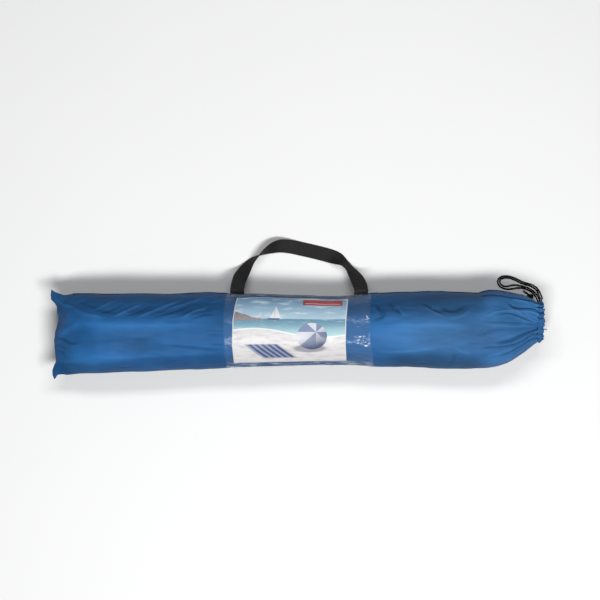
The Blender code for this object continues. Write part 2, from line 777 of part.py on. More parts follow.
def make_handle_roots():
    """The sewn ends of the handle, standing out of the side seam, and their bar tacks."""
    for side, word in ((-1, "left"), (1, "right")):
        x = HANDLE_CENTRE_X + side * HANDLE_SPAN / 2
        edges = (x - WEBBING_WIDTH / 2, x, x + WEBBING_WIDTH / 2)
        welt = max(side_y(place, -SEAM_OFFSET - SEAM_THICKNESS) for place in edges)
        near, far = welt + GAP, HANDLE_ROOT_Y - TAB_GAP
        builder = bmesh.new()
        bmesh.ops.create_cube(builder, size=1)
        bmesh.ops.scale(
            builder,
            vec=(WEBBING_WIDTH, far - near, WEBBING_THICKNESS),
            verts=builder.verts,
        )
        tab = add_mesh(f"handle_tab_{word}", builder, BLACK_WEBBING)
        tab.location = (x, (near + far) / 2, HANDLE_ROOT_Z)
        builder = bmesh.new()
        bmesh.ops.create_cube(builder, size=1)
        bmesh.ops.scale(
            builder,
            vec=(WEBBING_WIDTH, TACK_THICKNESS, TACK_HEIGHT),
            verts=builder.verts,
        )
        tack = add_mesh(f"handle_bar_tack_{word}", builder, BLACK_THREAD)
        tack_z = HANDLE_ROOT_Z + WEBBING_THICKNESS / 2 + GAP + TACK_HEIGHT / 2
        tack.location = (x, near + TACK_THICKNESS / 2, tack_z)


def roll_point(x, angle, share):
    """A point between the hollow core, share 0, and the inside of the bag, share 1."""
    core_y = CORE_HALF_WIDTH * math.cos(angle)
    core_z = CORE_CENTRE_Z + CORE_HALF_HEIGHT * math.sin(angle)
    _, outer_y, outer_z = bag_point(x, angle, ROLL_INSET)
    return (x, lerp(core_y, outer_y, share), lerp(core_z, outer_z, share))


def make_layer(name, steps, material):
    """A stretch of the rolled tent, as a spiral that starts at the core and ends at the bag."""
    least_depth = CORE_CENTRE_Z - CORE_HALF_HEIGHT - WAIST_LIFT - ROLL_INSET
    gap_share = LAYER_GAP / least_depth
    growth = (LAYER_TURNS - 1) * ANGLES_PER_TURN
    places = stations(bag_x(ROLL_START_SHARE), bag_x(ROLL_END_SHARE))
    rings = []
    for step in range(steps[0], steps[1] + 1):
        angle = ring_angle(2 * (step % ANGLES_PER_TURN))
        inner = max(step - ANGLES_PER_TURN, 0) / growth
        outer = min(step / growth, 1.0)
        if outer < 1.0:
            outer -= gap_share
        rings.append(
            [roll_point(x, angle, outer) for x in places]
            + [roll_point(x, angle, inner) for x in places[::-1]]
        )
    loft(name, rings, material, smooth=True)


def pole_places():
    """Y and Z of each pole section: one pole above the other, resting on the outer pegs."""
    peg_y, peg_z = peg_place(PEG_ROW[2][0])
    low_z = peg_z + PEG_RADIUS + GAP + SECTION_DIAMETER / 2
    places = []
    for pole in range(POLES):
        row = []
        for section in range(SECTIONS_PER_POLE):
            y = (section - (SECTIONS_PER_POLE - 1) / 2) * POLE_PITCH
            row.append((y, low_z + pole * POLE_PITCH))
        places.append(row)
    return places


def make_poles():
    bore, outside = SECTION_BORE / 2, SECTION_DIAMETER / 2
    tube = ((outside, SECTION_LENGTH), (outside, 0), (bore, 0), (bore, SECTION_LENGTH))
    sleeve_bore = outside + FERRULE_FIT
    sleeve_side = FERRULE_DIAMETER / 2
    sleeve = (
        (sleeve_side, FERRULE_LENGTH),
        (sleeve_side, 0),
        (sleeve_bore, 0),
        (sleeve_bore, FERRULE_LENGTH),
    )
    for pole, row in enumerate(pole_places()):
        mark = "ab"[pole]
        for section, (y, z) in enumerate(row):
            name = f"pole_{mark}_section_{section + 1}"
            turned(name, tube, (SECTION_START_X, y, z), FIBREGLASS)
            if section == SECTIONS_PER_POLE - 1:
                continue
            end = SECTION_START_X + (SECTION_LENGTH if section % 2 == 0 else 0)
            start = (end - FERRULE_LENGTH / 2, y, z)
            turned(f"ferrule_{mark}_{section + 1}", sleeve, start, FERRULE_METAL)
        make_shock_cord(mark, row)
        make_pins(mark, row)


def make_shock_cord(mark, row):
    """One elastic cord through all four sections, turning back beyond each ferrule."""
    start = SECTION_START_X + PIN_INSERTION + GAP
    right = SECTION_START_X + SECTION_LENGTH + FERRULE_LENGTH / 2 + GAP
    left = SECTION_START_X - FERRULE_LENGTH / 2 - GAP
    radius = POLE_PITCH / 2
    points = [(start, *row[0])]
    for turn in range(SECTIONS_PER_POLE - 1):
        side = 1 if turn % 2 == 0 else -1
        centre_x = right if side > 0 else left
        y, z = row[turn]
        for step in range(BEND_STEPS + 1):
            angle = math.pi * step / BEND_STEPS
            x = centre_x + side * radius * math.sin(angle)
            points.append((x, y + radius * (1 - math.cos(angle)), z))
    points.append((start, *row[-1]))
    wire(f"shock_cord_{mark}", points, SHOCK_CORD_DIAMETER / 2, ELASTIC)


def make_pins(mark, row):
    """Steel pins in the free ends of the first and last sections."""
    shank = PIN_DIAMETER / 2
    head = SECTION_DIAMETER / 2
    outer = PIN_LENGTH - PIN_INSERTION
    profile = (
        (0, PIN_LENGTH),
        (shank, PIN_LENGTH),
        (shank, outer - GAP),
        (head, outer - GAP),
        (head, outer - GAP - PIN_SHOULDER),
        (shank, outer - GAP - PIN_SHOULDER),
        (shank, shank),
        (0, 0),
    )
    for section, end in ((0, "start"), (len(row) - 1, "end")):
        y, z = row[section]
        place = (SECTION_START_X - outer, y, z)
        turned(f"end_pin_{mark}_{end}", profile, place, PIN_METAL, closed=False)


def peg_place(angle_deg):
    """Y and Z of a peg that lies in the bottom of the core, at an angle from straight down."""
    inset = PEG_RADIUS + PEG_SEAT_GAP
    angle = math.radians(angle_deg)
    y = (CORE_HALF_WIDTH - inset) * math.sin(angle)
    z = CORE_CENTRE_Z - (CORE_HALF_HEIGHT - inset) * math.cos(angle)
    return y, z


def make_peg(name, start, tilt):
    """A steel wire peg with its point towards +X and a hook at its other end."""
    points = []
    straight_start = HOOK_RADIUS + PEG_RADIUS
    points.append((straight_start + HOOK_RETURN, 2 * HOOK_RADIUS, 0))
    for step in range(BEND_STEPS + 1):
        angle = math.pi * step / BEND_STEPS
        x = straight_start - HOOK_RADIUS * math.sin(angle)
        points.append((x, HOOK_RADIUS * (1 + math.cos(angle)), 0))
    points.append((PEG_LENGTH - PEG_POINT_LENGTH, 0, 0))
    points.append((PEG_LENGTH, 0, 0))
    radii = [1.0] * (len(points) - 1) + [PEG_POINT_SHARE]
    peg = wire(name, points, PEG_RADIUS, PEG_METAL, radii=radii)
    peg.location = start
    peg.rotation_euler = (tilt, 0, 0)


def make_pegs():
    number = 1
    group_length = PEG_LENGTH + (len(PEG_ROW) - 1) * PEG_STAGGER + PEG_GROUP_GAP
    for group in range(PEG_GROUPS):
        group_start = SECTION_START_X + PEG_START_MARGIN + group * group_length
        for angle_deg, order in PEG_ROW:
            if number == PEG_GROUPS * len(PEG_ROW):
                break
            y, z = peg_place(angle_deg)
            next_angle = angle_deg - math.copysign(PEG_ROW_STEP_DEG, angle_deg)
            hook_y, hook_z = peg_place(next_angle)
            tilt = math.atan2(hook_z - z, hook_y - y)
            start = (group_start + order * PEG_STAGGER, y, z)
            make_peg(f"peg_{number}", start, tilt)
            number += 1
    z = peg_place(0)[1]
    start_x = MOUTH_X + LOOSE_PEG_SHOWS - PEG_LENGTH
    tilt = math.radians(LOOSE_HOOK_TILT_DEG)
    make_peg("loose_peg", (start_x, LOOSE_PEG_Y, z), tilt)


def make_guy_lines():
    top_z = pole_places()[-1][0][1] + SECTION_DIAMETER / 2
    for number, share in enumerate(HANK_CENTRE_SHARES, 1):
        builder = bmesh.new()
        bmesh.ops.create_cube(builder, size=1)
        bmesh.ops.scale(
            builder, vec=(HANK_LENGTH, HANK_WIDTH, HANK_THICKNESS), verts=builder.verts
        )
        hank = add_mesh(f"guy_line_hank_{number}", builder, GUY_CORD, smooth=True)
        x = SECTION_START_X + SECTION_LENGTH * share
        hank.location = (x, 0, top_z + GAP + HANK_THICKNESS / 2)
        rounding = hank.modifiers.new("round ends", "BEVEL")
        rounding.width = HANK_THICKNESS * HANK_ROUNDING_SHARE
        rounding.segments = 2


make_bag_cloth()
make_side_seams()
make_hem()
make_drawcord()
make_sleeve()
make_card()
make_handle()
make_handle_roots()
make_layer("groundsheet", GROUNDSHEET_STEPS, GROUND_CLOTH)
make_layer("canopy_roll", CANOPY_STEPS, CANOPY_CLOTH)
make_poles()
make_pegs()
make_guy_lines()
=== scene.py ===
"""The looks of a beach tent packed in its drawstring bag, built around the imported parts."""

import math

import bmesh
import bpy
import numpy as np
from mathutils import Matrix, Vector


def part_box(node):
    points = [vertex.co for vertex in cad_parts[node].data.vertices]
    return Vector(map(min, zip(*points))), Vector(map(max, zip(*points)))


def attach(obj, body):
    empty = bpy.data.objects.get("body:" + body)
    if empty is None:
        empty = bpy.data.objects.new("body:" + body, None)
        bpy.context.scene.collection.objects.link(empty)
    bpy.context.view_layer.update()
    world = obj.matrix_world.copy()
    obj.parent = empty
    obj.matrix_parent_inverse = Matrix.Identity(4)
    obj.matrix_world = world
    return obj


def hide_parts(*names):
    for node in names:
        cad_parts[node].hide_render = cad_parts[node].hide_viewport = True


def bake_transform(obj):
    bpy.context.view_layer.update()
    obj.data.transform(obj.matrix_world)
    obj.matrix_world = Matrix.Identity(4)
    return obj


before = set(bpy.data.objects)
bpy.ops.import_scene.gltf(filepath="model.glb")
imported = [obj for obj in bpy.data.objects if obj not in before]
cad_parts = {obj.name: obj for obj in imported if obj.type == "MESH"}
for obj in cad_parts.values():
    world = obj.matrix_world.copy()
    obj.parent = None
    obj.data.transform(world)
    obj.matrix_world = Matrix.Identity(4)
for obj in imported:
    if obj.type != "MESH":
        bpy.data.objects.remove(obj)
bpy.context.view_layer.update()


def table(text, columns, parts=1):
    """The numbers of a text in rows of so many columns, each divided by parts."""
    return np.array(text.split(), float).reshape(-1, columns) / parts


SEED = 11
MM = 0.001

# The photograph's camera: straight above, its frame 0.858 m wide at the bag's middle height
PIXEL_SIZE = 0.00143
PIXEL_MIDDLE = 300.0
PHOTO_X = 0.001
PHOTO_Y = 0.01274
CAMERA_HEIGHT = 4.0
SENSOR_WIDTH = 0.036
PHOTO_WIDTH = 0.858
PHOTO_PLANE_Z = 0.045

# The studio: name, place, length, width and power in watts of each overhead strip light
STRIP_LIGHTS = (
    ("near_strip", (0.28, -1.02, 2.12), 1.50, 0.42, 80.0),
    ("far_strip", (-0.05, 1.05, 2.05), 1.70, 0.36, 30.0),
)
ROOM_LIGHT = 0.15
ROOM_COLOUR = (0.95, 0.97, 1.0, 1)
FLOOR_GREY = (0.52, 0.52, 0.52)
FLOOR_PALE = (0.54, 0.54, 0.54)
FLOOR_HALF = 3.0

# The bag, as in the solids
AXIS_Y = -0.03159375
BAG_LENGTH = 0.6993
BAG_HALF_WIDTH = 0.0565
BAG_HALF_HEIGHT = 0.048
EAR_REACH = 0.0067
EAR_DEPTH = 0.020
SEAM_CLOSURE = 0.006
LOOSE_PEG_SHOWS = 0.0050
HEM_LENGTH = 0.0097
GAP = 0.0003
BODY_LENGTH = BAG_LENGTH - HEM_LENGTH - GAP
SEAM_X = -BAG_LENGTH / 2 + (EAR_REACH - LOOSE_PEG_SHOWS) / 2
BODY_END = SEAM_X + BODY_LENGTH
HEM_X = SEAM_X + BAG_LENGTH - HEM_LENGTH

# Each row: place along the bag, then middle line and half width as shares of the bag's half width,
# half height and middle height as shares of its half height
STATION_SHARES = table("""
    0 -0.087 1.138 0.046 0.9   0.0093 -0.072 1.065 0.3 0.9   0.0218 -0.08 1.005 0.5 0.905
    0.0467 -0.076 1 0.78 0.92   0.082 -0.06 1 0.95 0.935   0.133 -0.04 0.995 1 0.95
    0.333 0.025 0.961 0.96 0.912   0.4139 0.025 0.936 0.93 0.884   0.5508 0.012 0.873 0.875 0.831
    0.613 0.025 0.886 0.885 0.841   0.664 0.044 0.943 0.93 0.884   0.8185 0.037 0.974 0.975 0.926
    0.8932 0.064 0.974 0.97 0.92   0.918 0.088 0.949 0.94 0.905   0.943 0.113 0.873 0.865 0.88
    0.968 0.177 0.759 0.75 0.84   0.9845 0.22 0.64 0.655 0.81   1 0.225 0.487 0.542 0.792
""", 5)
TABLE_STEP = 0.0005
TABLE_BLURS = (0.0045, 0.0045, 0.0110, 0.0110)
FLOOR_ROUNDING = 0.0008
# Distance from the end seam and share of the half width kept there: the handle's side, the other
UPPER_EAR_TRIM = table("""
    0 1   0.004 0.985   0.0085 0.972   0.014 0.955   0.021 0.998   0.028 1
""", 2)
LOWER_EAR_TRIM = table("""
    0 1   0.0026 1   0.0058 0.962   0.01 0.98   0.016 1.01   0.028 1
""", 2)
# Place along the bag and share of the half width kept there: the handle's side, the other
UPPER_TRIM = table("""
    -0.3 1   -0.2564 0.985   -0.16 0.965   -0.13 0.965   -0.1163 0.95   -0.1 0.938   -0.082 0.938
    -0.07 0.962   -0.0133 0.976   0.02 0.992   0.0382 0.976   0.0553 0.962   0.0725 0.968   0.0897 0.954
    0.1068 0.947   0.124 0.951   0.14 0.965   0.2012 0.97   0.2441 0.945   0.256 0.935   0.265 0.985
    0.272 1
""", 2)
LOWER_TRIM = table("""
    -0.34 1   -0.33 1.022   -0.28 1.015   -0.24 1   0.13 1   0.22 1.022   0.245 1.036   0.262 1.022
    0.29 1.03   0.315 1.03   0.334 1
""", 2)
LIFT_START = 0.018
LIFT_LENGTH = 0.030
# The scalloped end seam's outline, as pixels
SEAM_Z = 0.0435
SEAM_OUTLINE = table("""
    51.4 288   50.9 294.5   51.2 299.5   54.6 303   56.9 306.5   57 311   58.2 316   58.4 320.5   57 326
    55.4 332   54.3 340   54.6 347   55.4 354   56.2 361.5   54 366   52.4 370   52.6 375   54.4 379.5
""", 2)

# The cloth's mesh
CLOTH_STEP = 0.0016
CLOTH_STEP_COVERED = 0.0045
COVERED_INSET = 0.008
CLOTH_COLUMNS_ABOVE = 164
CLOTH_COLUMNS_BELOW = 40
FINE_FROM = math.radians(-8.0)
CLOTH_THICKNESS = 0.0007
INNER_INSET = 0.0016
INNER_FINE_LENGTH = 0.06
INNER_STEPS = (0.003, 0.014)
INNER_RAMP = 0.02
INNER_MOST_SHARE = 0.7
ARC_RADIUS = 0.052
FOLD_TOP_Z = 0.078
FLOOR_CLEARANCE = 0.0002

# The side seam, and its outline as shares of half its height and of its thickness
SEAM_OFFSET = 0.0003
SEAM_THICKNESS = 0.0006
SEAM_HEIGHT = 0.0050
SEAM_START_SHARE = 0.035
SEAM_END_SHARE = 0.975
SEAM_STEP = 0.0016
SEAM_WANDER = 0.0004
SEAM_LUMPS = 0.12
SEAM_OUTLINE_SHARES = table("""
    -1 0   -1.02 0.5   -0.92 1   -0.6 1.08   -0.3 0.92   0 1   0.3 0.92   0.6 1.08   0.92 1   1.02 0.5
    1 0   0 -0.3
""", 2)
STITCH_PITCH = 0.0034
STITCH_ROWS = (-0.62, 0.62)
STITCH_STEPS = np.array([-0.00125, -0.0008, 0.0008, 0.00125])
STITCH_LIFTS = np.array([-0.00012, 0.00018, 0.00018, -0.00012])
STITCH_RADIUS = 0.00022
STITCH_MARGIN = 0.004

# The film sleeve
SLEEVE_OFFSET = 0.0012
SLEEVE_THICKNESS = 0.00025
SLEEVE_START = -0.1063
SLEEVE_END = 0.1025
SLEEVE_RAMP = 0.004
WAIST_LIFT = SLEEVE_OFFSET + SLEEVE_THICKNESS + FLOOR_CLEARANCE
SLOT_LENGTH = 0.026
SLOT_HEIGHT = 0.010
FILM_STEP = 0.0015
FILM_COLUMNS = 224
FILM_CRINKLE = 0.00030
FILM_WAVES = 0.00025
FILM_RELIEF = (-0.0006, 0.0011)
FILM_MIRROR = 0.32
FILM_MIRROR_MOST = 0.027
FILM_MIRROR_ON_CARD = 0.14
FILM_RUBBED_SHARE = 0.22
FILM_HAZE = (0.002, 0.014)
# Where the film is creased and milky, by place round the bag, and how much
CREASED_STRIPS = ((0.0010, 0.0190), (0.1350, 0.1560))
CREASE_HAZE = 0.15

# The card
CARD_START = SLEEVE_START + 0.0122
CARD_LENGTH = 0.1616
CARD_END = CARD_START + CARD_LENGTH
CARD_EDGE = math.radians(25.0)
CARD_LOWER_EDGE = math.pi - math.radians(31.0)
CARD_THICKNESS = 0.0003
CARD_OFFSET = 0.0003
CARD_WAVES = 0.00012
CARD_RELIEF = (-0.0002, 0.0003)
PRINT_SHADE = 0.45
# How the side edges are bowed: place across the bag, the left edge's shift and the right edge's
FILM_BOW = table("""
    -0.082 0.0027 0.0038   -0.072 0.0017 0.0025   -0.0508 -0.0009 -0.0009   -0.0155 -0.0013 -0.0028
    0.005 0 -0.0018   0.015 0.0014 0
""", 3)
FILM_BOW_REACH = (0.0045, 0.020)
CARD_BOW = table("""
    -0.0742 0.001 -0.0004   -0.0508 -0.0014 -0.0017   -0.0155 -0.0004 -0.0009   0.005 0.0027 0.001
    0.017 0.006 0.0023
""", 3)

# The cloth's tint with painted light: places along the bag and round it, in metres, and shares of its
# colour
# Painted sheen: the cloth is paler towards the mouth
PAINTED_SHEEN_PLACES = (0.060, 0.200)
PAINTED_SHEEN_SHARES = (1.90, 1.29, 1.14)
# Painted shade: the cloth is darker away from the top, on the sides and below
PAINTED_SHADE_MIDDLE = 0.0880
PAINTED_SHADE_PLACES = (0.0215, 0.0370)
PAINTED_SHADE_SHARES = (0.24, 0.38)
NECK_PLACES = (0.246, 0.282)
WAVER_SCALE = 24.0
WAVER_REACH = 0.012
# Painted shade in the folds' hollows and painted highlight on their crests
CREST_UNIT = 0.0019
CREST_SHADE_AND_HIGHLIGHT = (0.66, 1.34)

# The handle
WEBBING_WIDTH = 0.020
WEBBING_THICKNESS = 0.0015
WEBBING_COLUMNS = 26
WEBBING_STEP = 0.0009
WEBBING_EDGE = 0.0001
RIB_HEIGHT = 0.00006
SELVEDGE_HEIGHT = 0.00010
PICK_HEIGHT = 0.00004
PICK_PITCH = 0.0018
HANDLE_SPAN = 0.1771
HANDLE_CENTRE_X = -0.0002
HANDLE_REACH = 0.0624
HANDLE_ROOT_Y = 0.0600
HANDLE_ROOT_Z = 0.0440
HANDLE_DROP_LENGTH = 0.036
HANDLE_DROP_START_SHARE = 0.18
HANDLE_REST_GAP = 0.0002
# Each row: share of the span, share of the reach, roll in degrees
HANDLE_SHARES = table("""
    0 0 0   0.004 0.08 0   0.01 0.176 0   0.024 0.284 8   0.048 0.405 25   0.082 0.545 46
    0.124 0.672 67   0.172 0.775 88   0.225 0.875 112   0.29 0.962 140   0.35 1 160   0.43 0.985 175
    0.514 0.935 180   0.634 0.857 180   0.75 0.77 184   0.815 0.7 205   0.868 0.6 235   0.912 0.48 238
    0.948 0.345 215   0.975 0.205 192   0.992 0.09 180   1 0 180
""", 3)
# The zigzag of the bar tacks: one stitch as shift along, share of its swing and lift
TACK_STITCH = table("-0.001 -1 0.0001   -0.0006 -0.6 0.0004   0.0006 0.6 0.0004   0.001 1 0.0001", 3)
TACK_STITCHES = 9
TACK_START = -0.0085
TACK_PITCH = 0.0021
TACK_SWING = 0.0006
TACK_FROM_SEAM = 0.0021
TACK_RADIUS = 0.00025

# The hem, by its profile: place from its start, inset, share of the gathers and looseness
HEM_SHOWN_SHARE = 0.80
HEM_CORNER_CUT = 0.0036
HEM_COLUMNS = 360
HEM_RUFFLE = 0.0007
HEM_FINE_RUFFLE = 0.00045
HEM_ARC_RADIUS = 0.027
HEM_PROFILE = table("""
    -0.0012 -0.0001 1 0   -0.0004 -0.0006 1 0   0.0004 -0.0004 1 0   0.0012 -0.0007 0.95 0.1
    0.0026 -0.0014 0.9 0.2   0.0042 -0.0016 0.9 0.35   0.0058 -0.0013 0.95 0.5
    0.0072 -0.0010 1.05 0.75   0.0084 -0.0009 1.15 0.9   0.0093 -0.0006 1.2 1
    0.0098 0.0002 1.2 1   0.0098 0.0011 1.15 1   0.0092 0.0018 1.1 0.9   0.0080 0.0025 1 0.7
    0.0062 0.0034 0.95 0.5   0.0042 0.0040 0.9 0.3   0.0022 0.0040 0.9 0.1
    0.0006 0.0034 0.95 0   -0.0006 0.0026 1 0   -0.0014 0.0014 1 0
""", 4)

# The drawcord, and its free strands' routes from the eyelet at floor level, in tenths of a
# millimetre: along, across and up
CORD_DIAMETER = 0.0021
BRAID_PITCH = 0.0022
EYELET_X = 0.34515
PARTS_PER_SPAN = 10
STRAND_A_ROUTE = table("""
    13 -25 380   13 2 379   16 26 368   22 44 345   30 54 312   37 60 262   42 74 180   40 104 98
    25 148 38   -9 206 13   -48 239 12   -92 263 12   -145 278 12   -230 306 12   -308 345 12
    -383 375 12   -444 385 12   -509 384 12   -552 364 12   -578 333 12   -584 302 12   -572 267 12
    -546 236 12   -506 215 12   -466 202 12   -422 199 12   -353 209 12   -306 216 12   -225 215 12
    -169 197 12   -117 173 12   -72 140 12   -35 93 12   -10 41 12   3 -10 12   -10 -46 12   -47 -61 12
    -84 -46 12   -98 -8 12   -103 38 18
""", 3, 10000)
STRAND_B_ROUTE = table("""
    -13 -25 380   -13 2 379   -11 26 368   -6 43 345   2 52 312   10 57 262   16 68 178   14 94 96
    1 132 38   -23 183 13   -61 216 12   -101 238 12   -152 254 12   -238 281 12   -317 320 12
    -387 349 12   -445 361 12   -500 358 12   -536 343 12   -553 312 12   -543 278 12   -515 254 12
    -480 242 12   -442 241 12   -396 252 12   -344 260 12   -292 255 12   -220 239 12   -158 222 12
    -107 197 12   -53 158 12   -11 105 12   18 49 12   29 -10 12   7 -64 12   -47 -87 12   -101 -64 12
    -124 -8 12   -129 38 18
""", 3, 10000)
HEM_CORD_OPENING = 0.06
HEM_CORD_POINTS = 420
HEM_CORD_INSET = 0.0025
HEM_CORD_GATHER = 0.85
KNOT_WIDTH = 0.0094
KNOT_HEIGHT = 0.0080
KNOT_SCALE = 0.00118
KNOT_RISE = 0.0020
KNOT_STRAND_RADIUS = 0.0017
TAIL_LENGTH = 0.0075
TAIL_HEADING_DEG = 155.0
TAIL_SPREAD_DEG = 17.0
TAIL_HAIRS = 14
HAIR_RADIUS = 0.00013

# The loose peg
PEG_LENGTH = 0.180
PEG_DIAMETER = 0.0035
PEG_HOOK = 0.0040
PEG_HOOK_END = 0.009
PEG_HOOK_TILT = math.radians(25.0)
PEG_Y = 0.0021 + AXIS_Y
PEG_POINT_LENGTH = 0.014
PEG_TIP_SHARE = 0.40

# The rolled tent: its plies run round the poles in turns of so many steps
ROLL_STEPS = 72
ROLL_START = SEAM_X + BODY_LENGTH * 0.060
ROLL_END = SEAM_X + BODY_LENGTH * 0.943 - 0.0015
ROLL_TURNS = 3.0
ROLL_PLIES = 7
ROLL_INSET = 0.0034
PLY_GAP = 0.012
PLY_STEP = 0.0012
PLY_WANDER = 0.0006
CORE_HALF_WIDTH = 0.0220
CORE_HALF_HEIGHT = 0.0175
CORE_Z = 0.0430

# The guy lines' hanks
HANK_LOOPS = 9
HANK_POINTS = 36
HANK_END_GAP = 0.003
HANK_WIDTHS = (0.0022, 0.0078)
HANK_WANDER = 0.0014
GUY_LINE_RADIUS = 0.0010

# Folds seen in the photograph: half width and height in millimetres, lean to one side, then the
# pixels along the fold, two numbers each
FOLDS = """
5 -1.5 0 76 300 92 306.5 108 311 126 313
3.6 2.3 -0.4 54 294 62 301.5 69.8 305.3 77.3 309.8 86 313.4 108.5 317.8
1.6 1.3 0.4 88 312.5 98 308 110 302.5 122 298
1.4 0.9 0.4 72 304 84 299.5 96 296.5
1.8 2.3 0.5 111 317.8 122 312.5 133.5 307.1 143.5 302.8
2.1 2.5 0.5 133.5 318.4 152.3 310.9 172.3 302.8 184 298.5
2.2 1.6 0.4 160 311.5 181 304 198.5 299 212 296
2.4 2.4 0.5 181 319 193.5 310.3 203.5 307.8 208.5 302.8
1.3 0.6 0 208.5 312.8 212 310 214.8 307.1
1.3 0.6 0 212.5 313.5 216 310.5 219.5 306.5
1.6 0.7 0.2 206 302.5 218 299 229 296.5
2.2 -1 0.3 96 314.5 112 309 128 302
2.2 -1 0.3 119.8 317.8 138.5 310.9 153.5 304
2.4 -1.2 0.3 148.5 317.8 171 311.5 193.5 302.8
2.2 -1 0.3 166 318.4 189.8 311.5 198.5 305.3
2.2 -1 0.2 187.3 320.3 203.5 314 212.3 312.8 221 311
9 -1.1 0 86 307 130 309 180 310 226 309
9 -0.9 0 374 308 420 309 470 308
6.5 1.9 0 60 334 66 330 72 326.5 78 324 84 323.4 126 323.8 166 324.2 222 323.6
4 -0.9 0 57 325 66 325 74 321.5
1.9 -2 0.2 54 336.5 62.3 339 68 342.4 73 343.4 82 341.6
3 -0.8 0.2 76 342 108.5 340.5 140 340.3 158.5 341.5 171 344
1.8 0.9 0 158.5 343.6 177 344 196 345.3 226 348.4
2.4 -1.2 0.2 166 346.4 196 349.4 221 352.5
1.6 0.7 0 148.5 350.3 158.5 352.9 168.5 355.3
1.4 -0.6 0 207 330 218 330.2 229 330
1.4 -0.7 0 203 334.8 216 334.4 229 335
1.3 -1 0 206 345.1 218 345.1 231 345.5
6.5 1.8 0 57 362 75 360.6 110 358.6 160 356 225 354
1.7 -1.5 0 54.5 344 61 346 68 350
1.7 -1.4 0 54.5 350 61 352 67 356
2.8 -2.1 0 374 300 379 305 382.6 311 381 316.5 371 319.8
1.8 1.1 0 370.5 303.5 375 308 377.6 314
3 -1.9 0 388 299 395 306.5 402.3 315.3
1.9 1.3 0 392.9 300.5 400 308 406.5 316.5
2.6 -1.9 0 418 299.5 429 305.2 436 309 447.3 314
1.8 1.1 0 421 303.5 434 311 446 316.5
5 -1.8 0 438 303 447 308.5 457 308.5 468 301.5
2.6 1.2 0 446 315 456 316 465 313 474 304
6.5 1.6 0 371 327 388 325 403.5 324 453.5 324.2 478 323.5
3 -0.5 0 372 333 420 333.5 470 333.5
2.6 1.1 -0.2 374 352.6 392 352.2 409.8 351.5 425 349 441 347.1 453.5 346.5
2.4 1 -0.2 452 346.6 458 349.5 463.5 352.1 474.8 353.4
1.8 -1.1 0 453.2 361.5 454 357 456 353
1.8 1.5 0.2 479 320 491 314 501 310.9 516 310.9 526 316.5 537.3 322.1
1.5 -1.4 0 494.8 315.3 507.3 312.8 519.8 315.9 532.3 321.5 538 323
1.5 1 0 494 318.4 503 315.4 511 314.6 523.5 320 538 323.8
1.6 -1 0 480 321.4 497 321.5 517 322.4 538 324.6
1.6 -1.5 0 520 311.6 525 315.8 530 318.6 537.5 320.5
1.5 1 0 524 311.6 529 314.6 537.5 317.6
2.2 -2.8 0 506 300.2 513.5 305.9 523.5 307.8 538 310.5
2.6 1.4 0 504 303.8 513 309.5 524 311.2 538 314
2.4 1.3 0 508 298.6 518 300.3 528 303 538 307
1.5 -1.2 0 476 298 490 295.6 505 296.8 520 299.8 536 304
2.2 1 0 478.5 323.2 500 325.2 520 326.4 538 326.4
2.4 -1 0 462 334.5 481 334.4 491 330.6 503.5 328.8 520 328.5 538 327.4
2.2 1.3 0 494 341 511 336 526 330.2 538 328.2
1.8 -3 0 493 343.2 503 342.6 512.3 340.6 524.8 334.6 538 329.4
1.8 1.3 0 482.3 345.6 503.5 344.2 516 341.4 528.5 335 538 331.2
1.7 -1.5 0 476 353.5 486 348.4 503.5 346.7 516 344.2 528 338 538 332.8
2.2 1.2 0 482.3 356.5 498.5 353 511 348.6 522.3 343.8 532 337.5 538 335
2.2 -2.6 0 496 356.3 508.5 353 518.5 347.2 528.5 340.8 538 337
2.2 1.3 0 500 359.5 512 355.5 524 347.5 532 342 538 339.5
1.1 0.8 0 478.8 355 481.5 357.5 485 359.4
1.1 0.8 0 482.8 354 485.8 357 489 360.4
1.1 0.7 0 488 353.6 489.6 356.4 491.4 359
1.1 0.8 0 530 334.4 532.6 336.6 531.6 339.4
2 0.5 0 437.3 342.4 448.5 339.2 461 336.5
1.5 -0.7 0 479 333.4 482.3 330.5 485.6 326.5
"""
FOLD_PARTS = 5
# The cloth's broad and fine waves, and its calm and draw under the sleeve, heights in millimetres
BROAD_WAVES = 0.55
FINE_WAVES = 0.16
SLEEVE_CALM = 0.75
SLEEVE_DRAW = 0.25
END_CALM = 0.25
CREST_ROUNDING_SHARE = 0.30
CREST_FOOT_SHARE = 0.60
DEEPEST_FOLD = 3.2
HIGHEST_FOLD = 2.9
OPEN_END = 0.010
FADE_SHARE = 0.32
# Short tension folds: how many, their turn, half length, width and height in millimetres, and bow
STREAKS = 170
STREAK_TURN = 0.28
STREAK_LENGTHS = (0.010, 0.035)
STREAK_WIDTHS = (0.0014, 0.0032)
STREAK_HEIGHTS = (0.12, 0.34)
STREAK_BOW = 3.0
# Puckers at the end seam: how many, their length, width and height in millimetres
PUCKERS = 34
PUCKER_LENGTHS = (0.008, 0.028)
PUCKER_WIDTHS = (0.018, 0.045)
PUCKER_HEIGHTS = (0.15, 0.5)
# Gathered pleats round the mouth
PLEATS = 23
PLEAT_DEPTH = 0.0024
PLEAT_LENGTHS = (0.014, 0.022, 0.034, 0.052)
PLEAT_LENGTH_ABOVE = 0.011
# The side seam near the mouth: the groove below its raised edge, as pixels, and the puckers on it
RAISED_SEAM = table("""
    479 294.2   486 294.6   492 294.2   498 294.8   504 295.8   510 297   516 298   522 299.3   528 301
    537 304
""", 2)
GROOVE_DEPTH = 0.0019
GROOVE_WIDTH = 0.0017
PUCKER_HEIGHT = 0.00042
PUCKER_PITCH = 0.0046
PUCKER_REACH = 0.0085


def smooth_step(t):
    t = np.clip(t, 0.0, 1.0)
    return t * t * (3 - 2 * t)


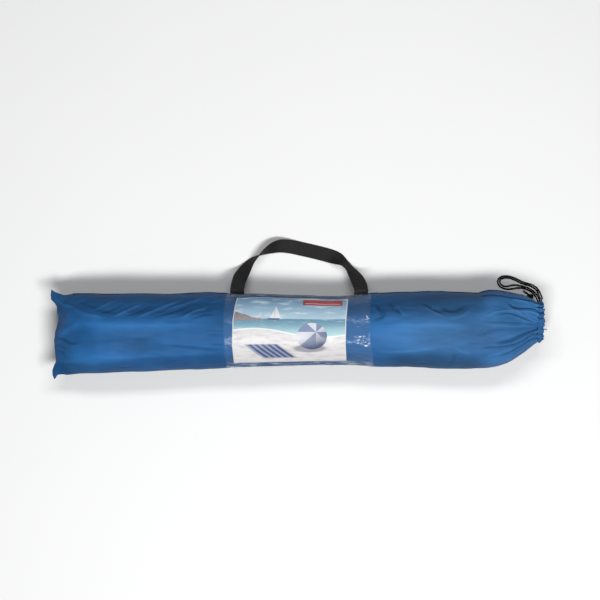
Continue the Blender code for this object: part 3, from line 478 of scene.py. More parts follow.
def within(value, low, high, soft):
    """1 between low and high, with soft edges inside them, 0 outside."""
    return smooth_step((value - low) / soft) * smooth_step((high - value) / soft)


def lerp(a, b, t):
    return a + (b - a) * t


def unit(vectors):
    return vectors / np.linalg.norm(vectors, axis=-1, keepdims=True)


def run_of(path):
    """How far along a path each of its points is."""
    return np.concatenate([[0], np.cumsum(np.linalg.norm(np.diff(path, axis=0), axis=1))])


def chart_of(along, across):
    """A grid's places on its own chart, from those of its rows and columns."""
    return np.stack(np.broadcast_arrays(along[:, None], across[None, :]), -1)


def closed_arc(angles, radius=ARC_RADIUS):
    return np.concatenate([angles, [angles[0] + math.tau]]) * radius


def blurred(values, step, blur):
    """A row of values smoothed along its length, its ends kept."""
    reach = int(3 * blur / step)
    weights = np.exp(-0.5 * (np.arange(-reach, reach + 1) * step / blur) ** 2)
    padded = np.pad(values, reach, mode="reflect", reflect_type="odd")
    return np.convolve(padded, weights / weights.sum(), mode="valid")


def bag_stations():
    """Middle line, half width, half height and middle height of the bag along its length."""
    places = np.arange(SEAM_X, BODY_END + TABLE_STEP, TABLE_STEP)
    shares = STATION_SHARES.T
    units = (BAG_HALF_WIDTH, BAG_HALF_WIDTH, BAG_HALF_HEIGHT, BAG_HALF_HEIGHT)
    along = (places - SEAM_X) / BODY_LENGTH
    plain = [np.interp(along, shares[0], row) * size for row, size in zip(shares[1:], units)]
    return places, [blurred(row, TABLE_STEP, blur) for row, blur in zip(plain, TABLE_BLURS)]


def photo_place(px, py, z):
    """A pixel of the photograph as a place in the row frame, at a height."""
    size = PIXEL_SIZE * (CAMERA_HEIGHT - z) / (CAMERA_HEIGHT - PHOTO_PLANE_Z)
    return (px - PIXEL_MIDDLE) * size + PHOTO_X, (PIXEL_MIDDLE - py) * size + PHOTO_Y


BAG_X, BAG_ROWS = bag_stations()
SEAM_EDGE_X, SEAM_EDGE_Y = photo_place(*SEAM_OUTLINE[::-1].T, SEAM_Z)


def bag_row(x):
    """Middle line, half width, half height, middle height and floor of the bag at x."""
    middle, half_width, half_height, middle_height = (np.interp(x, BAG_X, row) for row in BAG_ROWS)
    inside = np.minimum(x - SLEEVE_START, SLEEVE_END - x)
    floor = WAIST_LIFT * smooth_step(inside / SLEEVE_RAMP + 2)
    lift = WAIST_LIFT * smooth_step((inside + LIFT_START) / LIFT_LENGTH)
    return middle, half_width, half_height, middle_height + lift, floor


def seam_shift(x, y):
    """How far the scalloped end seam draws the cloth back or in, by place across the bag."""
    fade = smooth_step(1 - (x - SEAM_X) / EAR_DEPTH)
    return fade * (np.interp(y, SEAM_EDGE_Y, SEAM_EDGE_X) - SEAM_X)


def kept_share(x, angle):
    """Share of the half width that is kept, by place along the bag and by side."""
    from_seam = x - SEAM_X
    upper = np.interp(from_seam, *UPPER_EAR_TRIM.T) * np.interp(x, *UPPER_TRIM.T)
    lower = np.interp(from_seam, *LOWER_EAR_TRIM.T) * np.interp(x, *LOWER_TRIM.T)
    return np.where(np.cos(angle) > 0, upper, lower)


def bag_surface(x, angle, inset=0.0):
    """Points of the bag's plain outside, or inset inwards from it, in the row frame."""
    x, angle = np.broadcast_arrays(x, angle)
    middle, half_width, half_height, middle_height, floor = bag_row(x)
    y = middle + (half_width - inset) * np.cos(angle) * kept_share(x, angle)
    z = middle_height + (half_height - inset) * np.sin(angle)
    above = (z - floor - inset) / FLOOR_ROUNDING
    z = floor + inset + FLOOR_ROUNDING * np.logaddexp(0.0, above)
    return np.stack([x + seam_shift(x, y + AXIS_Y), y + AXIS_Y, z], -1)


def normals_of(points, wrap_columns=True):
    """Outward directions of a grid of points whose columns run round the bag."""
    along = np.gradient(points, axis=0)
    if wrap_columns:
        around = np.roll(points, -1, 1) - np.roll(points, 1, 1)
    else:
        around = np.gradient(points, axis=1)
    out = np.cross(along, around)
    return -out / np.maximum(np.linalg.norm(out, axis=-1, keepdims=True), 1e-12)


def angle_columns(count):
    """Angles round the bag from under it, anticlockwise seen from the mouth."""
    return -math.pi / 2 + np.arange(count) * math.tau / count


def uneven_columns():
    """Angles round the bag, as above, but closer together on its upper side."""
    below = np.linspace(-math.pi / 2, FINE_FROM, CLOTH_COLUMNS_BELOW // 2 + 1)[:-1]
    above = np.linspace(FINE_FROM, math.pi - FINE_FROM, CLOTH_COLUMNS_ABOVE + 1)
    return np.concatenate([below, above, math.pi - below[:0:-1]])


def arc_of(angle):
    """Place round the bag, in metres from its top, towards the handle's side."""
    turned = (angle + math.pi / 2) % math.tau - math.pi / 2
    return ARC_RADIUS * (math.pi / 2 - turned)


def photo_to_chart(px, py):
    """A pixel on the bag's upper side as its place along the bag and round it."""
    z = FOLD_TOP_Z
    for _ in range(3):
        x, y = photo_place(px, py, z)
        middle, half_width, half_height, middle_height, _ = bag_row(x)
        angle = math.acos(np.clip((y - AXIS_Y - middle) / half_width, -0.999, 0.999))
        z = float(middle_height + half_height * math.sin(angle))
    return np.array([x, ARC_RADIUS * (math.pi / 2 - angle)])


def smooth_line(points, parts=PARTS_PER_SPAN):
    """Points along the smooth curve through a route's own points."""
    points = np.array(points, float)
    padded = np.vstack([points[:1], points, points[-1:]])
    spans = len(points) - 1
    before, start, end, after = (padded[k : k + spans, None] for k in range(4))
    t = (np.arange(parts) / parts)[:, None]
    fine = 0.5 * (
        2 * start
        + (end - before) * t
        + (2 * before - 5 * start + 4 * end - after) * t**2
        + (3 * start - before - 3 * end + after) * t**3
    )
    return np.vstack([fine.reshape(-1, points.shape[1]), points[-1:]])


def crest(distance, width):
    """A fold's height by distance from its line: a narrow crest with wide feet."""
    rounding = CREST_ROUNDING_SHARE * width
    return np.exp(-(np.sqrt(distance**2 + rounding**2) - rounding) / (CREST_FOOT_SHARE * width))


def fold_height(x, arc, line, width, height, lean):
    """Height that one fold adds at places of the bag's chart."""
    result = np.zeros_like(x)
    reach = 5 * width
    low, high = line.min(0) - reach, line.max(0) + reach
    near = (x > low[0]) & (x < high[0]) & (arc > low[1]) & (arc < high[1])
    place = np.stack([x[near], arc[near]], -1)
    best = np.full(len(place), 1e9)
    signed, along = np.zeros(len(place)), np.zeros(len(place))
    walked = run_of(line)
    for k, (a, b) in enumerate(zip(line, line[1:])):
        step = walked[k + 1] - walked[k]
        t = np.clip((place - a) @ (b - a) / step**2, 0, 1)
        gap = place - a - t[:, None] * (b - a)
        distance = np.linalg.norm(gap, axis=1)
        closer = distance < best
        side = np.sign((b - a)[0] * gap[:, 1] - (b - a)[1] * gap[:, 0])
        best = np.where(closer, distance, best)
        signed = np.where(closer, distance * side, signed)
        along = np.where(closer, (walked[k] + t * step) / walked[-1], along)
    taper = np.ones(len(place))
    if line[0, 0] > SEAM_X + OPEN_END:
        taper *= smooth_step(along / FADE_SHARE)
    if line[-1, 0] < HEM_X - OPEN_END:
        taper *= smooth_step((1 - along) / FADE_SHARE)
    widths = width * (1 + lean * np.sign(signed))
    result[near] = height * crest(signed, widths) * taper
    return result


def uneven(places, lengths, count, rng):
    """Smooth seeded unevenness of about unit size, its waves about as long as lengths."""
    total = np.zeros(places.shape[:-1])
    for _ in range(count):
        wave = rng.normal(size=3) / np.array(lengths)
        total += np.cos(places @ wave * math.tau + rng.uniform(0, math.tau))
    return total / math.sqrt(count / 2)


def streak_height(x, arc, rng):
    """Seeded short tension folds all over the cloth, most of them along the bag."""
    total = np.zeros_like(x)
    around = math.pi * ARC_RADIUS
    for _ in range(STREAKS):
        x0 = rng.uniform(SEAM_X + 0.02, HEM_X - 0.03)
        arc0 = rng.uniform(-around, around)
        turn = rng.normal() * STREAK_TURN
        half_length = rng.uniform(*STREAK_LENGTHS)
        width = rng.uniform(*STREAK_WIDTHS)
        height = rng.choice([-1, 1]) * rng.uniform(*STREAK_HEIGHTS) * MM
        bow = rng.normal() * STREAK_BOW
        near = np.abs((x - x0) * math.cos(turn)) < half_length * 1.4
        across = (arc[near] - arc0 + around) % (2 * around) - around
        run = (x[near] - x0) * math.cos(turn) + across * math.sin(turn)
        off = -(x[near] - x0) * math.sin(turn) + across * math.cos(turn) + bow * run**2
        total[near] += height * smooth_step(1.0 - np.abs(run) / half_length) * crest(off, width)
    return total


def make_pleats(rng):
    """Place, depth, length, width and drift of each gathered pleat round the mouth."""
    places = (np.arange(PLEATS) + rng.uniform(-0.28, 0.28, PLEATS)) * math.tau / PLEATS
    depths = PLEAT_DEPTH * rng.uniform(0.6, 1.15, PLEATS)
    lengths = rng.choice(PLEAT_LENGTHS, PLEATS) * rng.uniform(0.8, 1.25, PLEATS)
    lengths = np.where(np.sin(places) > 0.25, PLEAT_LENGTH_ABOVE, lengths)
    widths = math.tau / PLEATS * rng.uniform(0.22, 0.36, PLEATS)
    return list(zip(places, depths, lengths, widths, rng.normal(size=PLEATS) * 0.10))


PLEAT_LIST = make_pleats(np.random.default_rng(SEED + 1))


def pleat_height(x, angle):
    """Gathers that run from the hem back into the body of the bag."""
    total = np.zeros_like(x)
    for place, depth, length, width, drift in PLEAT_LIST:
        back = np.clip((HEM_X - x) / length, 0.0, 1.0)
        off = (angle - (place + drift * back) + math.pi) % math.tau - math.pi
        off = off / (width * (1 + 0.9 * back))
        shoulders = 0.45 * np.exp(-((np.abs(off) - 1.7) ** 2))
        total += depth * (1 - back) ** 1.6 * (shoulders - np.exp(-(off**2)))
    return total


def raised_seam_height(x, arc):
    """The side seam near the mouth: a groove below its raised edge and puckers across it."""
    line = np.array([photo_to_chart(px, py) for px, py in RAISED_SEAM])
    off = arc - np.interp(x, line[:, 0], line[:, 1])
    groove = -GROOVE_DEPTH * np.exp(-((off / GROOVE_WIDTH) ** 2))
    wave = np.sin(x / PUCKER_PITCH * math.tau + 1.7 * np.sin(x / PUCKER_PITCH * 1.9))
    on_edge = smooth_step(off / GROOVE_WIDTH) * smooth_step(2 - off / PUCKER_REACH)
    fade = smooth_step((x - line[0, 0]) / PUCKER_REACH)
    return fade * (groove + PUCKER_HEIGHT * wave * on_edge)


def seam_pucker(x, angle, rng):
    """Small puckers that run in from the stitched end seam."""
    total = np.zeros_like(x)
    rise = np.clip((x - SEAM_X) / 0.003, 0.0, 1.0)
    for _ in range(PUCKERS):
        place = rng.uniform(-1.0, 1.0)
        length = rng.uniform(*PUCKER_LENGTHS)
        width = rng.uniform(*PUCKER_WIDTHS)
        height = rng.choice([-1, 1]) * rng.uniform(*PUCKER_HEIGHTS) * MM
        back = np.clip((x - SEAM_X) / length, 0.0, 1.0)
        across = np.exp(-(((np.cos(angle) - place) / width) ** 2))
        total += height * rise * (1 - back) ** 1.5 * across
    return total


def cloth_height(x, angle, places):
    """Everything that lifts the cloth from its plain shape or draws it in."""
    rng = np.random.default_rng(SEED)
    arc = arc_of(angle)
    total = BROAD_WAVES * MM * uneven(places, (0.16, 0.07, 0.07), 18, rng)
    total += FINE_WAVES * MM * uneven(places, (0.05, 0.018, 0.018), 26, rng)
    total += streak_height(x, arc, rng)
    for row in FOLDS.strip().splitlines():
        width, height, lean, *pixels = (float(word) for word in row.split())
        places_on_bag = [photo_to_chart(px, py) for px, py in zip(pixels[::2], pixels[1::2])]
        line = smooth_line(places_on_bag, FOLD_PARTS)
        total += fold_height(x, arc, line, width * MM, height * MM, lean)
    total += seam_pucker(x, angle, rng)
    total += raised_seam_height(x, arc)
    under_sleeve = within(x, SLEEVE_START, SLEEVE_END, 0.010)
    total = total * (1 - SLEEVE_CALM * under_sleeve) - SLEEVE_DRAW * MM * under_sleeve
    total *= lerp(END_CALM, 1.0, smooth_step((x - SEAM_X) / 0.012))
    return np.clip(total, -DEEPEST_FOLD * MM, HIGHEST_FOLD * MM) + pleat_height(x, angle)


class Value:
    """What a node of a material gives, with plain arithmetic."""

    def __init__(self, graph, socket):
        self.graph, self.socket = graph, socket

    def __add__(self, other):
        return self.graph.math("ADD", self, other)

    def __sub__(self, other):
        return self.graph.math("SUBTRACT", self, other)

    def __rsub__(self, other):
        return self.graph.math("SUBTRACT", other, self)

    def __mul__(self, other):
        return self.graph.math("MULTIPLY", self, other)

    def __pow__(self, other):
        return self.graph.math("POWER", self, other)


class Graph:
    """A material's shader nodes, added and joined by short calls."""

    def __init__(self, name):
        self.material = bpy.data.materials.new(name)
        self.material.use_nodes = True
        self.tree = self.material.node_tree
        self.shader = self.tree.nodes["Principled BSDF"]

    def node(self, kind, inputs=(), output=0, **settings):
        """Adds a node with these inputs, by name or number, and gives one of its outputs."""
        made = self.tree.nodes.new(kind)
        for key, value in settings.items():
            setattr(made, key, value)
        for key, value in dict(inputs).items():
            self.join(value, made.inputs[key])
        return Value(self, made.outputs[output])

    def join(self, source, target):
        if isinstance(source, Value):
            self.tree.links.new(source.socket, target)
        else:
            target.default_value = (*source, 1.0) if target.type == "RGBA" else source

    def math(self, operation, *inputs, clamp=False):
        return self.node("ShaderNodeMath", enumerate(inputs), operation=operation, use_clamp=clamp)

    def sine(self, value):
        return self.math("SINE", value)

    def mix(self, factor, a, b, blend="MIX"):
        inputs = {0: factor, 6: a, 7: b}
        return self.node("ShaderNodeMix", inputs, 2, data_type="RGBA", blend_type=blend)

    def mix_shader(self, factor, a, b):
        return self.node("ShaderNodeMixShader", enumerate((factor, a, b)))

    def step(self, value, low, high):
        """0 at low and beyond, 1 at high and beyond, smooth between."""
        inputs = {"Value": value, "From Min": low, "From Max": high}
        return self.node("ShaderNodeMapRange", inputs, interpolation_type="SMOOTHSTEP")

    def band(self, value, low, high, soft):
        """1 between low and high, 0 outside."""
        return self.step(value, low - soft, low + soft) * self.step(value, high + soft, high - soft)

    def scaled(self, value, low, high):
        return self.node("ShaderNodeMapRange", {"Value": value, "To Min": low, "To Max": high})

    def place(self, kind="Object"):
        return self.node("ShaderNodeTexCoord", output=kind)

    def chart(self):
        """Both directions of the piece's own chart, in metres."""
        first = self.node("ShaderNodeSeparateXYZ", {0: self.place("UV")})
        return first, Value(self, first.socket.node.outputs[1])

    def noise(self, vector, scale, detail=3.0, stretch=None):
        if stretch:
            vector = self.node("ShaderNodeMapping", {"Vector": vector, "Scale": stretch})
        return self.node("ShaderNodeTexNoise", {"Vector": vector, "Scale": scale, "Detail": detail})

    def bump(self, height, distance, strength=1.0):
        inputs = {"Height": height, "Distance": distance, "Strength": strength}
        self.set(Normal=self.node("ShaderNodeBump", inputs))

    def set(self, **inputs):
        for key, value in inputs.items():
            self.join(value, self.shader.inputs[key.replace("_", " ")])


BLACK = (0.0, 0.0, 0.0)
SOFT_IOR = 1.24
CLOTH_PITCH = 0.0007
WEBBING_PITCHES = (0.0016, 0.0013)


def shaded(colour, share):
    return tuple(min(c * share, 1) for c in colour)


def woven(graph, pitch, other_pitch):
    """A plain weave's relief, its threads so far apart, on the piece's own chart."""
    u, v = graph.chart()
    return graph.sine(u * (math.tau / pitch)) * graph.sine(v * (math.tau / other_pitch))


def painted_light_tint(graph, tint):
    """Painted light on the bag's colour: painted sheen paler towards the mouth, painted shade on the
    sides and below, and painted shade and highlight on the folds.
    """
    u, v = graph.chart()
    # fade is the painted sheen's share along the bag
    fade = graph.step(u, *PAINTED_SHEEN_PLACES)
    painted_sheen = graph.mix(fade, (1.0, 1.0, 1.0), PAINTED_SHEEN_SHARES)
    waver = graph.noise(graph.place(), WAVER_SCALE, stretch=(0.4, 1.0, 1.0))
    # Painted shade: darker away from the top, on the sides and below, more so towards the mouth, none
    # at the neck
    side = graph.math("ABSOLUTE", v - PAINTED_SHADE_MIDDLE) + graph.scaled(waver, -WAVER_REACH, WAVER_REACH)
    share = graph.scaled(fade, *PAINTED_SHADE_SHARES) * graph.step(u, *NECK_PLACES[::-1])
    # The folds' heights tint the cloth: painted shade in the hollows, painted highlight on the crests
    height = graph.node("ShaderNodeAttribute", output="Fac", attribute_name="crest")
    relief = graph.scaled(graph.math("MULTIPLY_ADD", height, 0.5, 0.5, clamp=True), *CREST_SHADE_AND_HIGHLIGHT)
    tint = graph.mix(1.0, graph.mix(1.0, tint, painted_sheen, "MULTIPLY"), relief, "MULTIPLY")
    return graph.mix(graph.step(side, *PAINTED_SHADE_PLACES) * share, tint, BLACK)


def cloth_material(name, colour, dark, roughness=0.50, painted_light=False):
    """Coated polyester: a fine plain weave, slightly uneven in colour and gloss."""
    graph = Graph(name)
    place = graph.place()
    blotch = graph.noise(place, 22.0, 4.0)
    grain = graph.noise(place, 900.0, 2.0)
    tint = graph.mix(graph.step(blotch, 0.3, 0.7), dark, colour)
    tint = graph.mix(grain * 0.18, tint, shaded(colour, 1.6))
    # Painted sheen and painted shade on the bag's own cloth
    if painted_light:
        tint = painted_light_tint(graph, tint)
    graph.set(Base_Color=tint, Roughness=graph.scaled(blotch, roughness - 0.05, roughness + 0.06))
    graph.set(IOR=SOFT_IOR, Specular_IOR_Level=0.22)
    graph.bump(woven(graph, CLOTH_PITCH, CLOTH_PITCH), 0.00004, 0.6)
    return graph.material


def thread_material(name, colour):
    """Matt fibres: stitches, elastic and guy line."""
    graph = Graph(name)
    fibre = graph.noise(graph.place(), 4000.0, 2.0)
    graph.set(Base_Color=graph.mix(fibre, shaded(colour, 0.6), colour), Roughness=0.75)
    graph.bump(fibre, 0.00005)
    return graph.material


def webbing_material():
    """Black woven tape: rows of picks with a slight sheen, paler random dust, and painted shade in the
    gaps between the picks with painted highlight on their tops.
    """
    graph = Graph("black_webbing")
    weave = woven(graph, *WEBBING_PITCHES)
    dust = graph.noise(graph.place(), 60.0, 5.0)
    # Painted shade and highlight by the weave's relief, mixed with random dust
    shade = graph.step(weave * 0.25 + dust, 0.2, 0.95)
    graph.set(Base_Color=graph.mix(shade, (0.0045, 0.0044, 0.0045), (0.0105, 0.0102, 0.0104)))
    graph.set(Roughness=graph.scaled(dust, 0.5, 0.7), IOR=SOFT_IOR)
    graph.bump(weave, 0.00012, 0.8)
    return graph.material


def cord_material():
    """Matt black braid, its strands crossing both ways, with painted shade in its grooves and painted
    highlight on its crests.
    """
    graph = Graph("black_cord")
    u, v = graph.chart()
    along, around = u * (1.0 / BRAID_PITCH), v * 6.0
    braid = graph.sine((along + around) * math.tau) * graph.sine((along - around) * math.tau)
    # Painted shade in the braid's grooves and painted highlight on its crests
    shade = graph.step(braid, -0.8, 0.9)
    graph.set(Base_Color=graph.mix(shade, (0.0055, 0.0052, 0.0052), (0.0130, 0.0120, 0.0120)))
    graph.set(Roughness=0.8, IOR=SOFT_IOR, Specular_IOR_Level=0.15)
    graph.bump(braid, 0.00007, 0.6)
    return graph.material


def film_material():
    """Clear film: it lets the card through, hazes it a little and mirrors the lamps."""
    graph = Graph("clear_film")
    u, v = graph.chart()
    place = graph.place()
    creases = graph.step(graph.noise(place, 260.0, stretch=(0.26, 1.0, 1.0)), 0.44, 0.74)
    strips = [graph.band(v, low, high, 0.003) for low, high in CREASED_STRIPS]
    milky = (strips[0] + strips[1]) * creases * CREASE_HAZE
    haze = graph.scaled(graph.noise(place, 40.0, 5.0), *FILM_HAZE) + milky
    patches = graph.step(graph.noise(place, 55.0, 4.0), 0.38, 0.62)
    on_card = graph.band(u, CARD_START, CARD_END, 0.002)
    rubbed = graph.scaled(graph.step(u, CARD_START, CARD_END), FILM_RUBBED_SHARE, 1.0)
    shine = graph.node("ShaderNodeFresnel", {"IOR": 1.5}) * FILM_MIRROR
    shine = shine * graph.scaled(patches, 0.25, 1.0)
    shine = shine * graph.scaled(on_card, 1.0, FILM_MIRROR_ON_CARD) * rubbed
    clear = graph.node("ShaderNodeBsdfTransparent")
    dull = graph.node("ShaderNodeBsdfDiffuse", {"Color": (0.80, 0.84, 0.90)})
    gloss = graph.node("ShaderNodeBsdfGlossy", {"Roughness": 0.15})
    hazed = graph.mix_shader(haze, clear, dull)
    surface = graph.mix_shader(graph.math("MINIMUM", shine, FILM_MIRROR_MOST), hazed, gloss)
    graph.join(surface, graph.tree.nodes["Material Output"].inputs["Surface"])
    graph.tree.nodes.remove(graph.shader)
    return graph.material


def metal_material(name, colour, roughness):
    """Drawn metal: streaks along it and a few duller spots."""
    graph = Graph(name)
    place = graph.place()
    streak = graph.noise(place, 500.0, stretch=(0.06, 1.0, 1.0))
    spots = graph.step(graph.noise(place, 130.0, 4.0), 0.35, 0.75)
    graph.set(Base_Color=graph.mix(spots, colour, shaded(colour, 0.72)), Metallic=1.0)
    graph.set(Roughness=graph.scaled(streak, roughness - 0.08, roughness + 0.14))
    graph.bump(streak, 0.00003, 0.5)
    return graph.material


def fibreglass_material():
    graph = Graph("fibreglass")
    strand = graph.noise(graph.place(), 900.0, stretch=(0.03, 1.0, 1.0))
    graph.set(Base_Color=graph.mix(strand, (0.022, 0.022, 0.024), (0.05, 0.05, 0.054)))
    graph.set(Roughness=graph.scaled(strand, 0.28, 0.44))
    graph.bump(strand, 0.00003, 0.6)
    return graph.material


def card_material():
    """A printed card: sea, sky and sand, a ball, a towel, a boat, and a plain red panel."""
    graph = Graph("printed_card")
    u, v = graph.chart()
    flat = graph.place("UV")
    cloud = graph.noise(flat, 5.0, 5.0, stretch=(1.0, 2.6, 1.0))
    sky = graph.mix(graph.step(v, 0.62, 1.0), (0.42, 0.60, 0.72), (0.16, 0.35, 0.55))
    picture = graph.mix(graph.step(cloud, 0.50, 0.68), sky, (0.72, 0.80, 0.86))
    sea = graph.mix(graph.step(v, 0.42, 0.62), (0.42, 0.66, 0.72), (0.10, 0.26, 0.38))
    ripple = graph.noise(flat, 18.0, stretch=(0.5, 5.0, 1.0))
    sea = graph.mix(graph.step(ripple, 0.55, 0.75), sea, (0.50, 0.70, 0.78))
    picture = graph.mix(graph.step(v, 0.632, 0.628), picture, sea)
    headland = graph.noise(flat, 9.0, 4.0) * 0.16 + u * -0.42 + 0.655
    rocks = graph.step(headland - v, 0.0, 0.008) * graph.step(v, 0.600, 0.612)
    rock = graph.mix(graph.noise(flat, 45.0, 4.0), (0.12, 0.10, 0.11), (0.40, 0.37, 0.38))
    picture = graph.mix(rocks, picture, rock)
    above_shore = v - (graph.sine(u * 5.2 + 0.6) * 0.055 + 0.44)
    sand = graph.mix(graph.noise(flat, 160.0, 2.0), (0.66, 0.64, 0.64), (0.84, 0.82, 0.82))
    dune = graph.noise(flat, 7.0, 4.0, stretch=(1.0, 3.0, 1.0))
    sand = graph.mix(graph.step(dune, 0.45, 0.7), sand, (0.58, 0.55, 0.56))
    picture = graph.mix(graph.step(above_shore, 0.004, -0.002), picture, sand)
    foam = graph.band(above_shore, -0.004, 0.014, 0.004)
    picture = graph.mix(foam, picture, (0.86, 0.89, 0.90))
    for draw in (draw_towel, draw_ball, draw_boat):
        picture = draw(graph, u, v, picture)
    panel = graph.band(u, 0.60, 0.955, 0.003) * graph.band(v, 0.845, 0.955, 0.004)
    picture = graph.mix(panel, picture, (0.42, 0.035, 0.042))
    rule = graph.band(u, 0.622, 0.933, 0.003) * graph.band(v, 0.872, 0.880, 0.003)
    picture = graph.mix(rule, picture, (0.80, 0.78, 0.78))
    inner = graph.band(u, 0.008, 0.992, 0.002) * graph.band(v, 0.010, 0.990, 0.003)
    picture = graph.mix(inner, (0.80, 0.81, 0.82), picture)
    fibre = graph.noise(graph.place(), 1200.0, 2.0)
    graph.set(Base_Color=graph.mix(PRINT_SHADE, picture, BLACK), IOR=1.3)
    graph.set(Roughness=graph.scaled(fibre, 0.36, 0.48))
    graph.bump(fibre, 0.00002, 0.4)
    return graph.material


def draw_towel(graph, u, v, picture):
    """A striped towel spread on the sand, drawn as a leaning strip."""
    lean = u + v * 0.75
    shadow = graph.band(lean, 0.335, 0.635, 0.010) * graph.band(v, 0.082, 0.30, 0.010)
    picture = graph.mix(shadow * 0.6, picture, (0.25, 0.24, 0.27))
    stripes = graph.step(graph.sine(lean * (math.tau / 0.056)), -0.15, 0.15)
    cloth = graph.mix(stripes, (0.045, 0.065, 0.16), (0.26, 0.31, 0.48))
    body = graph.band(lean, 0.34, 0.62, 0.004) * graph.band(v, 0.10, 0.30, 0.004)
    return graph.mix(body, picture, cloth)


def draw_ball(graph, u, v, picture):
    """A beach ball with broad panels, and its shadow on the sand."""
    x, y = (u - 0.70) * 1.34, v - 0.40
    far = (x + 0.03) ** 2.0 + ((v - 0.235) * 3.2) ** 2.0
    picture = graph.mix(graph.step(far, 0.050, 0.020) * 0.7, picture, (0.16, 0.16, 0.22))
    turn = graph.math("ARCTAN2", y - 0.06, x - 0.05)
    panels = graph.step(graph.sine(turn * 4.0), -0.1, 0.1)
    skin = graph.mix(panels, (0.22, 0.27, 0.44), (0.70, 0.72, 0.78))
    skin = graph.mix(graph.step(y - x * 0.6, -0.18, 0.10), (0.05, 0.07, 0.16), skin)
    radius = graph.math("SQRT", x**2.0 + y**2.0)
    return graph.mix(graph.step(radius, 0.182, 0.176), picture, skin)


def draw_boat(graph, u, v, picture):
    """A small sailing boat on the horizon: two sails and a hull."""
    x, rise = u - 0.36, v - 0.635
    main_sail = graph.step((0.20 - rise) * 0.33 - x, 0.0, 0.003) * graph.step(x, 0.003, 0.005)
    fore_sail = graph.step((0.15 - rise) * 0.24 + x, 0.0, 0.003) * graph.step(x, -0.001, -0.003)
    above_hull = graph.step(rise, 0.004, 0.008) * graph.step(rise, 0.21, 0.20)
    sails = graph.math("MAXIMUM", main_sail, fore_sail) * above_hull
    picture = graph.mix(sails, picture, (0.82, 0.82, 0.84))
    inside = rise * 0.8 + 0.060 - graph.math("ABSOLUTE", x)
    hull = graph.step(inside, 0.0, 0.004) * graph.band(rise, -0.022, 0.0, 0.002)
    return graph.mix(hull, picture, (0.06, 0.08, 0.20))


# The bag's cloth carries painted sheen and painted shade in its colour
BAG_CLOTH = cloth_material("bag_cloth", (0.0118, 0.0655, 0.174), (0.0098, 0.0575, 0.158), painted_light=True)
HEM_CLOTH = cloth_material("hem_cloth", (0.0185, 0.0730, 0.180), (0.0150, 0.0620, 0.156))
SEAM_CLOTH = cloth_material("seam_cloth", (0.0100, 0.0510, 0.136), (0.0080, 0.0440, 0.120))
CANOPY_CLOTH = cloth_material("canopy_cloth", (0.05, 0.16, 0.40), (0.04, 0.13, 0.34))
GROUND_CLOTH = cloth_material("ground_cloth", (0.22, 0.27, 0.33), (0.18, 0.22, 0.28), 0.55)
WEBBING = webbing_material()
CORD = cord_material()
THREAD = thread_material("blue_thread", (0.020, 0.085, 0.20))
BLACK_THREAD = thread_material("black_thread", (0.022, 0.022, 0.022))
FILM = film_material()
CARD = card_material()
STEEL = metal_material("peg_steel", (0.15, 0.15, 0.155), 0.38)
FERRULE = metal_material("ferrule_steel", (0.70, 0.71, 0.72), 0.26)
FIBREGLASS = fibreglass_material()
ELASTIC = thread_material("elastic", (0.72, 0.72, 0.70))
GUY_LINE = thread_material("guy_line", (0.66, 0.66, 0.62))


def add_object(name, data):
    made = bpy.data.objects.new(name, data)
    bpy.context.scene.collection.objects.link(made)
    return made


def grid_piece(
    name, points, material, wrap_rows=False, wrap_columns=True, uv=None, flip=False, ends=()
):
    """A smooth mesh from a grid of points. uv has one more row or column where the grid closes.
    ends are flat faces that close the first row, and the last row the other way round."""
    rows, columns = points.shape[:2]
    r = np.arange(rows if wrap_rows else rows - 1)[:, None]
    c = np.arange(columns if wrap_columns else columns - 1)[None, :]
    corners = [(r, c), (r, c + 1), (r + 1, c + 1), (r + 1, c)]
    if flip:
        corners = corners[::-1]
    quads = np.stack([(a % rows) * columns + b % columns for a, b in corners], -1).reshape(-1, 4)
    last = (rows - 1) * columns
    caps = [tuple(face) for face in ends]
    caps += [tuple(last + k for k in face[::-1]) for face in ends]
    mesh = bpy.data.meshes.new(name)
    mesh.from_pydata(points.reshape(-1, 3).tolist(), [], quads.tolist() + caps)
    if uv is not None:
        places = np.zeros((quads.size + sum(len(face) for face in caps), 2), np.float32)
        places[: quads.size] = np.stack([uv[a, b] for a, b in corners], -2).reshape(-1, 2)
        mesh.uv_layers.new(name="places").data.foreach_set("uv", places.ravel())
    mesh.shade_smooth()
    for face in mesh.polygons[len(quads) :]:
        face.use_smooth = False
    mesh.materials.append(material)
    return add_object(name, mesh)


def band_between(near, far, places):
    """Triangles between two rows of vertices that run side by side, by falling place."""
    faces = []
    a, b = 0, 0
    while a < len(near) - 1 or b < len(far) - 1:
        far_done = b == len(far) - 1
        if far_done or (a < len(near) - 1 and places[near[a + 1]] >= places[far[b + 1]]):
            faces.append((near[a], near[a + 1], far[b]))
            a += 1
        else:
            faces.append((near[a], far[b + 1], far[b]))
            b += 1
    return faces


def ladder(columns):
    """Faces that close a ring of so many vertices."""
    return [(k, k + 1, columns - 2 - k, columns - 1 - k) for k in range(columns // 2 - 1)]


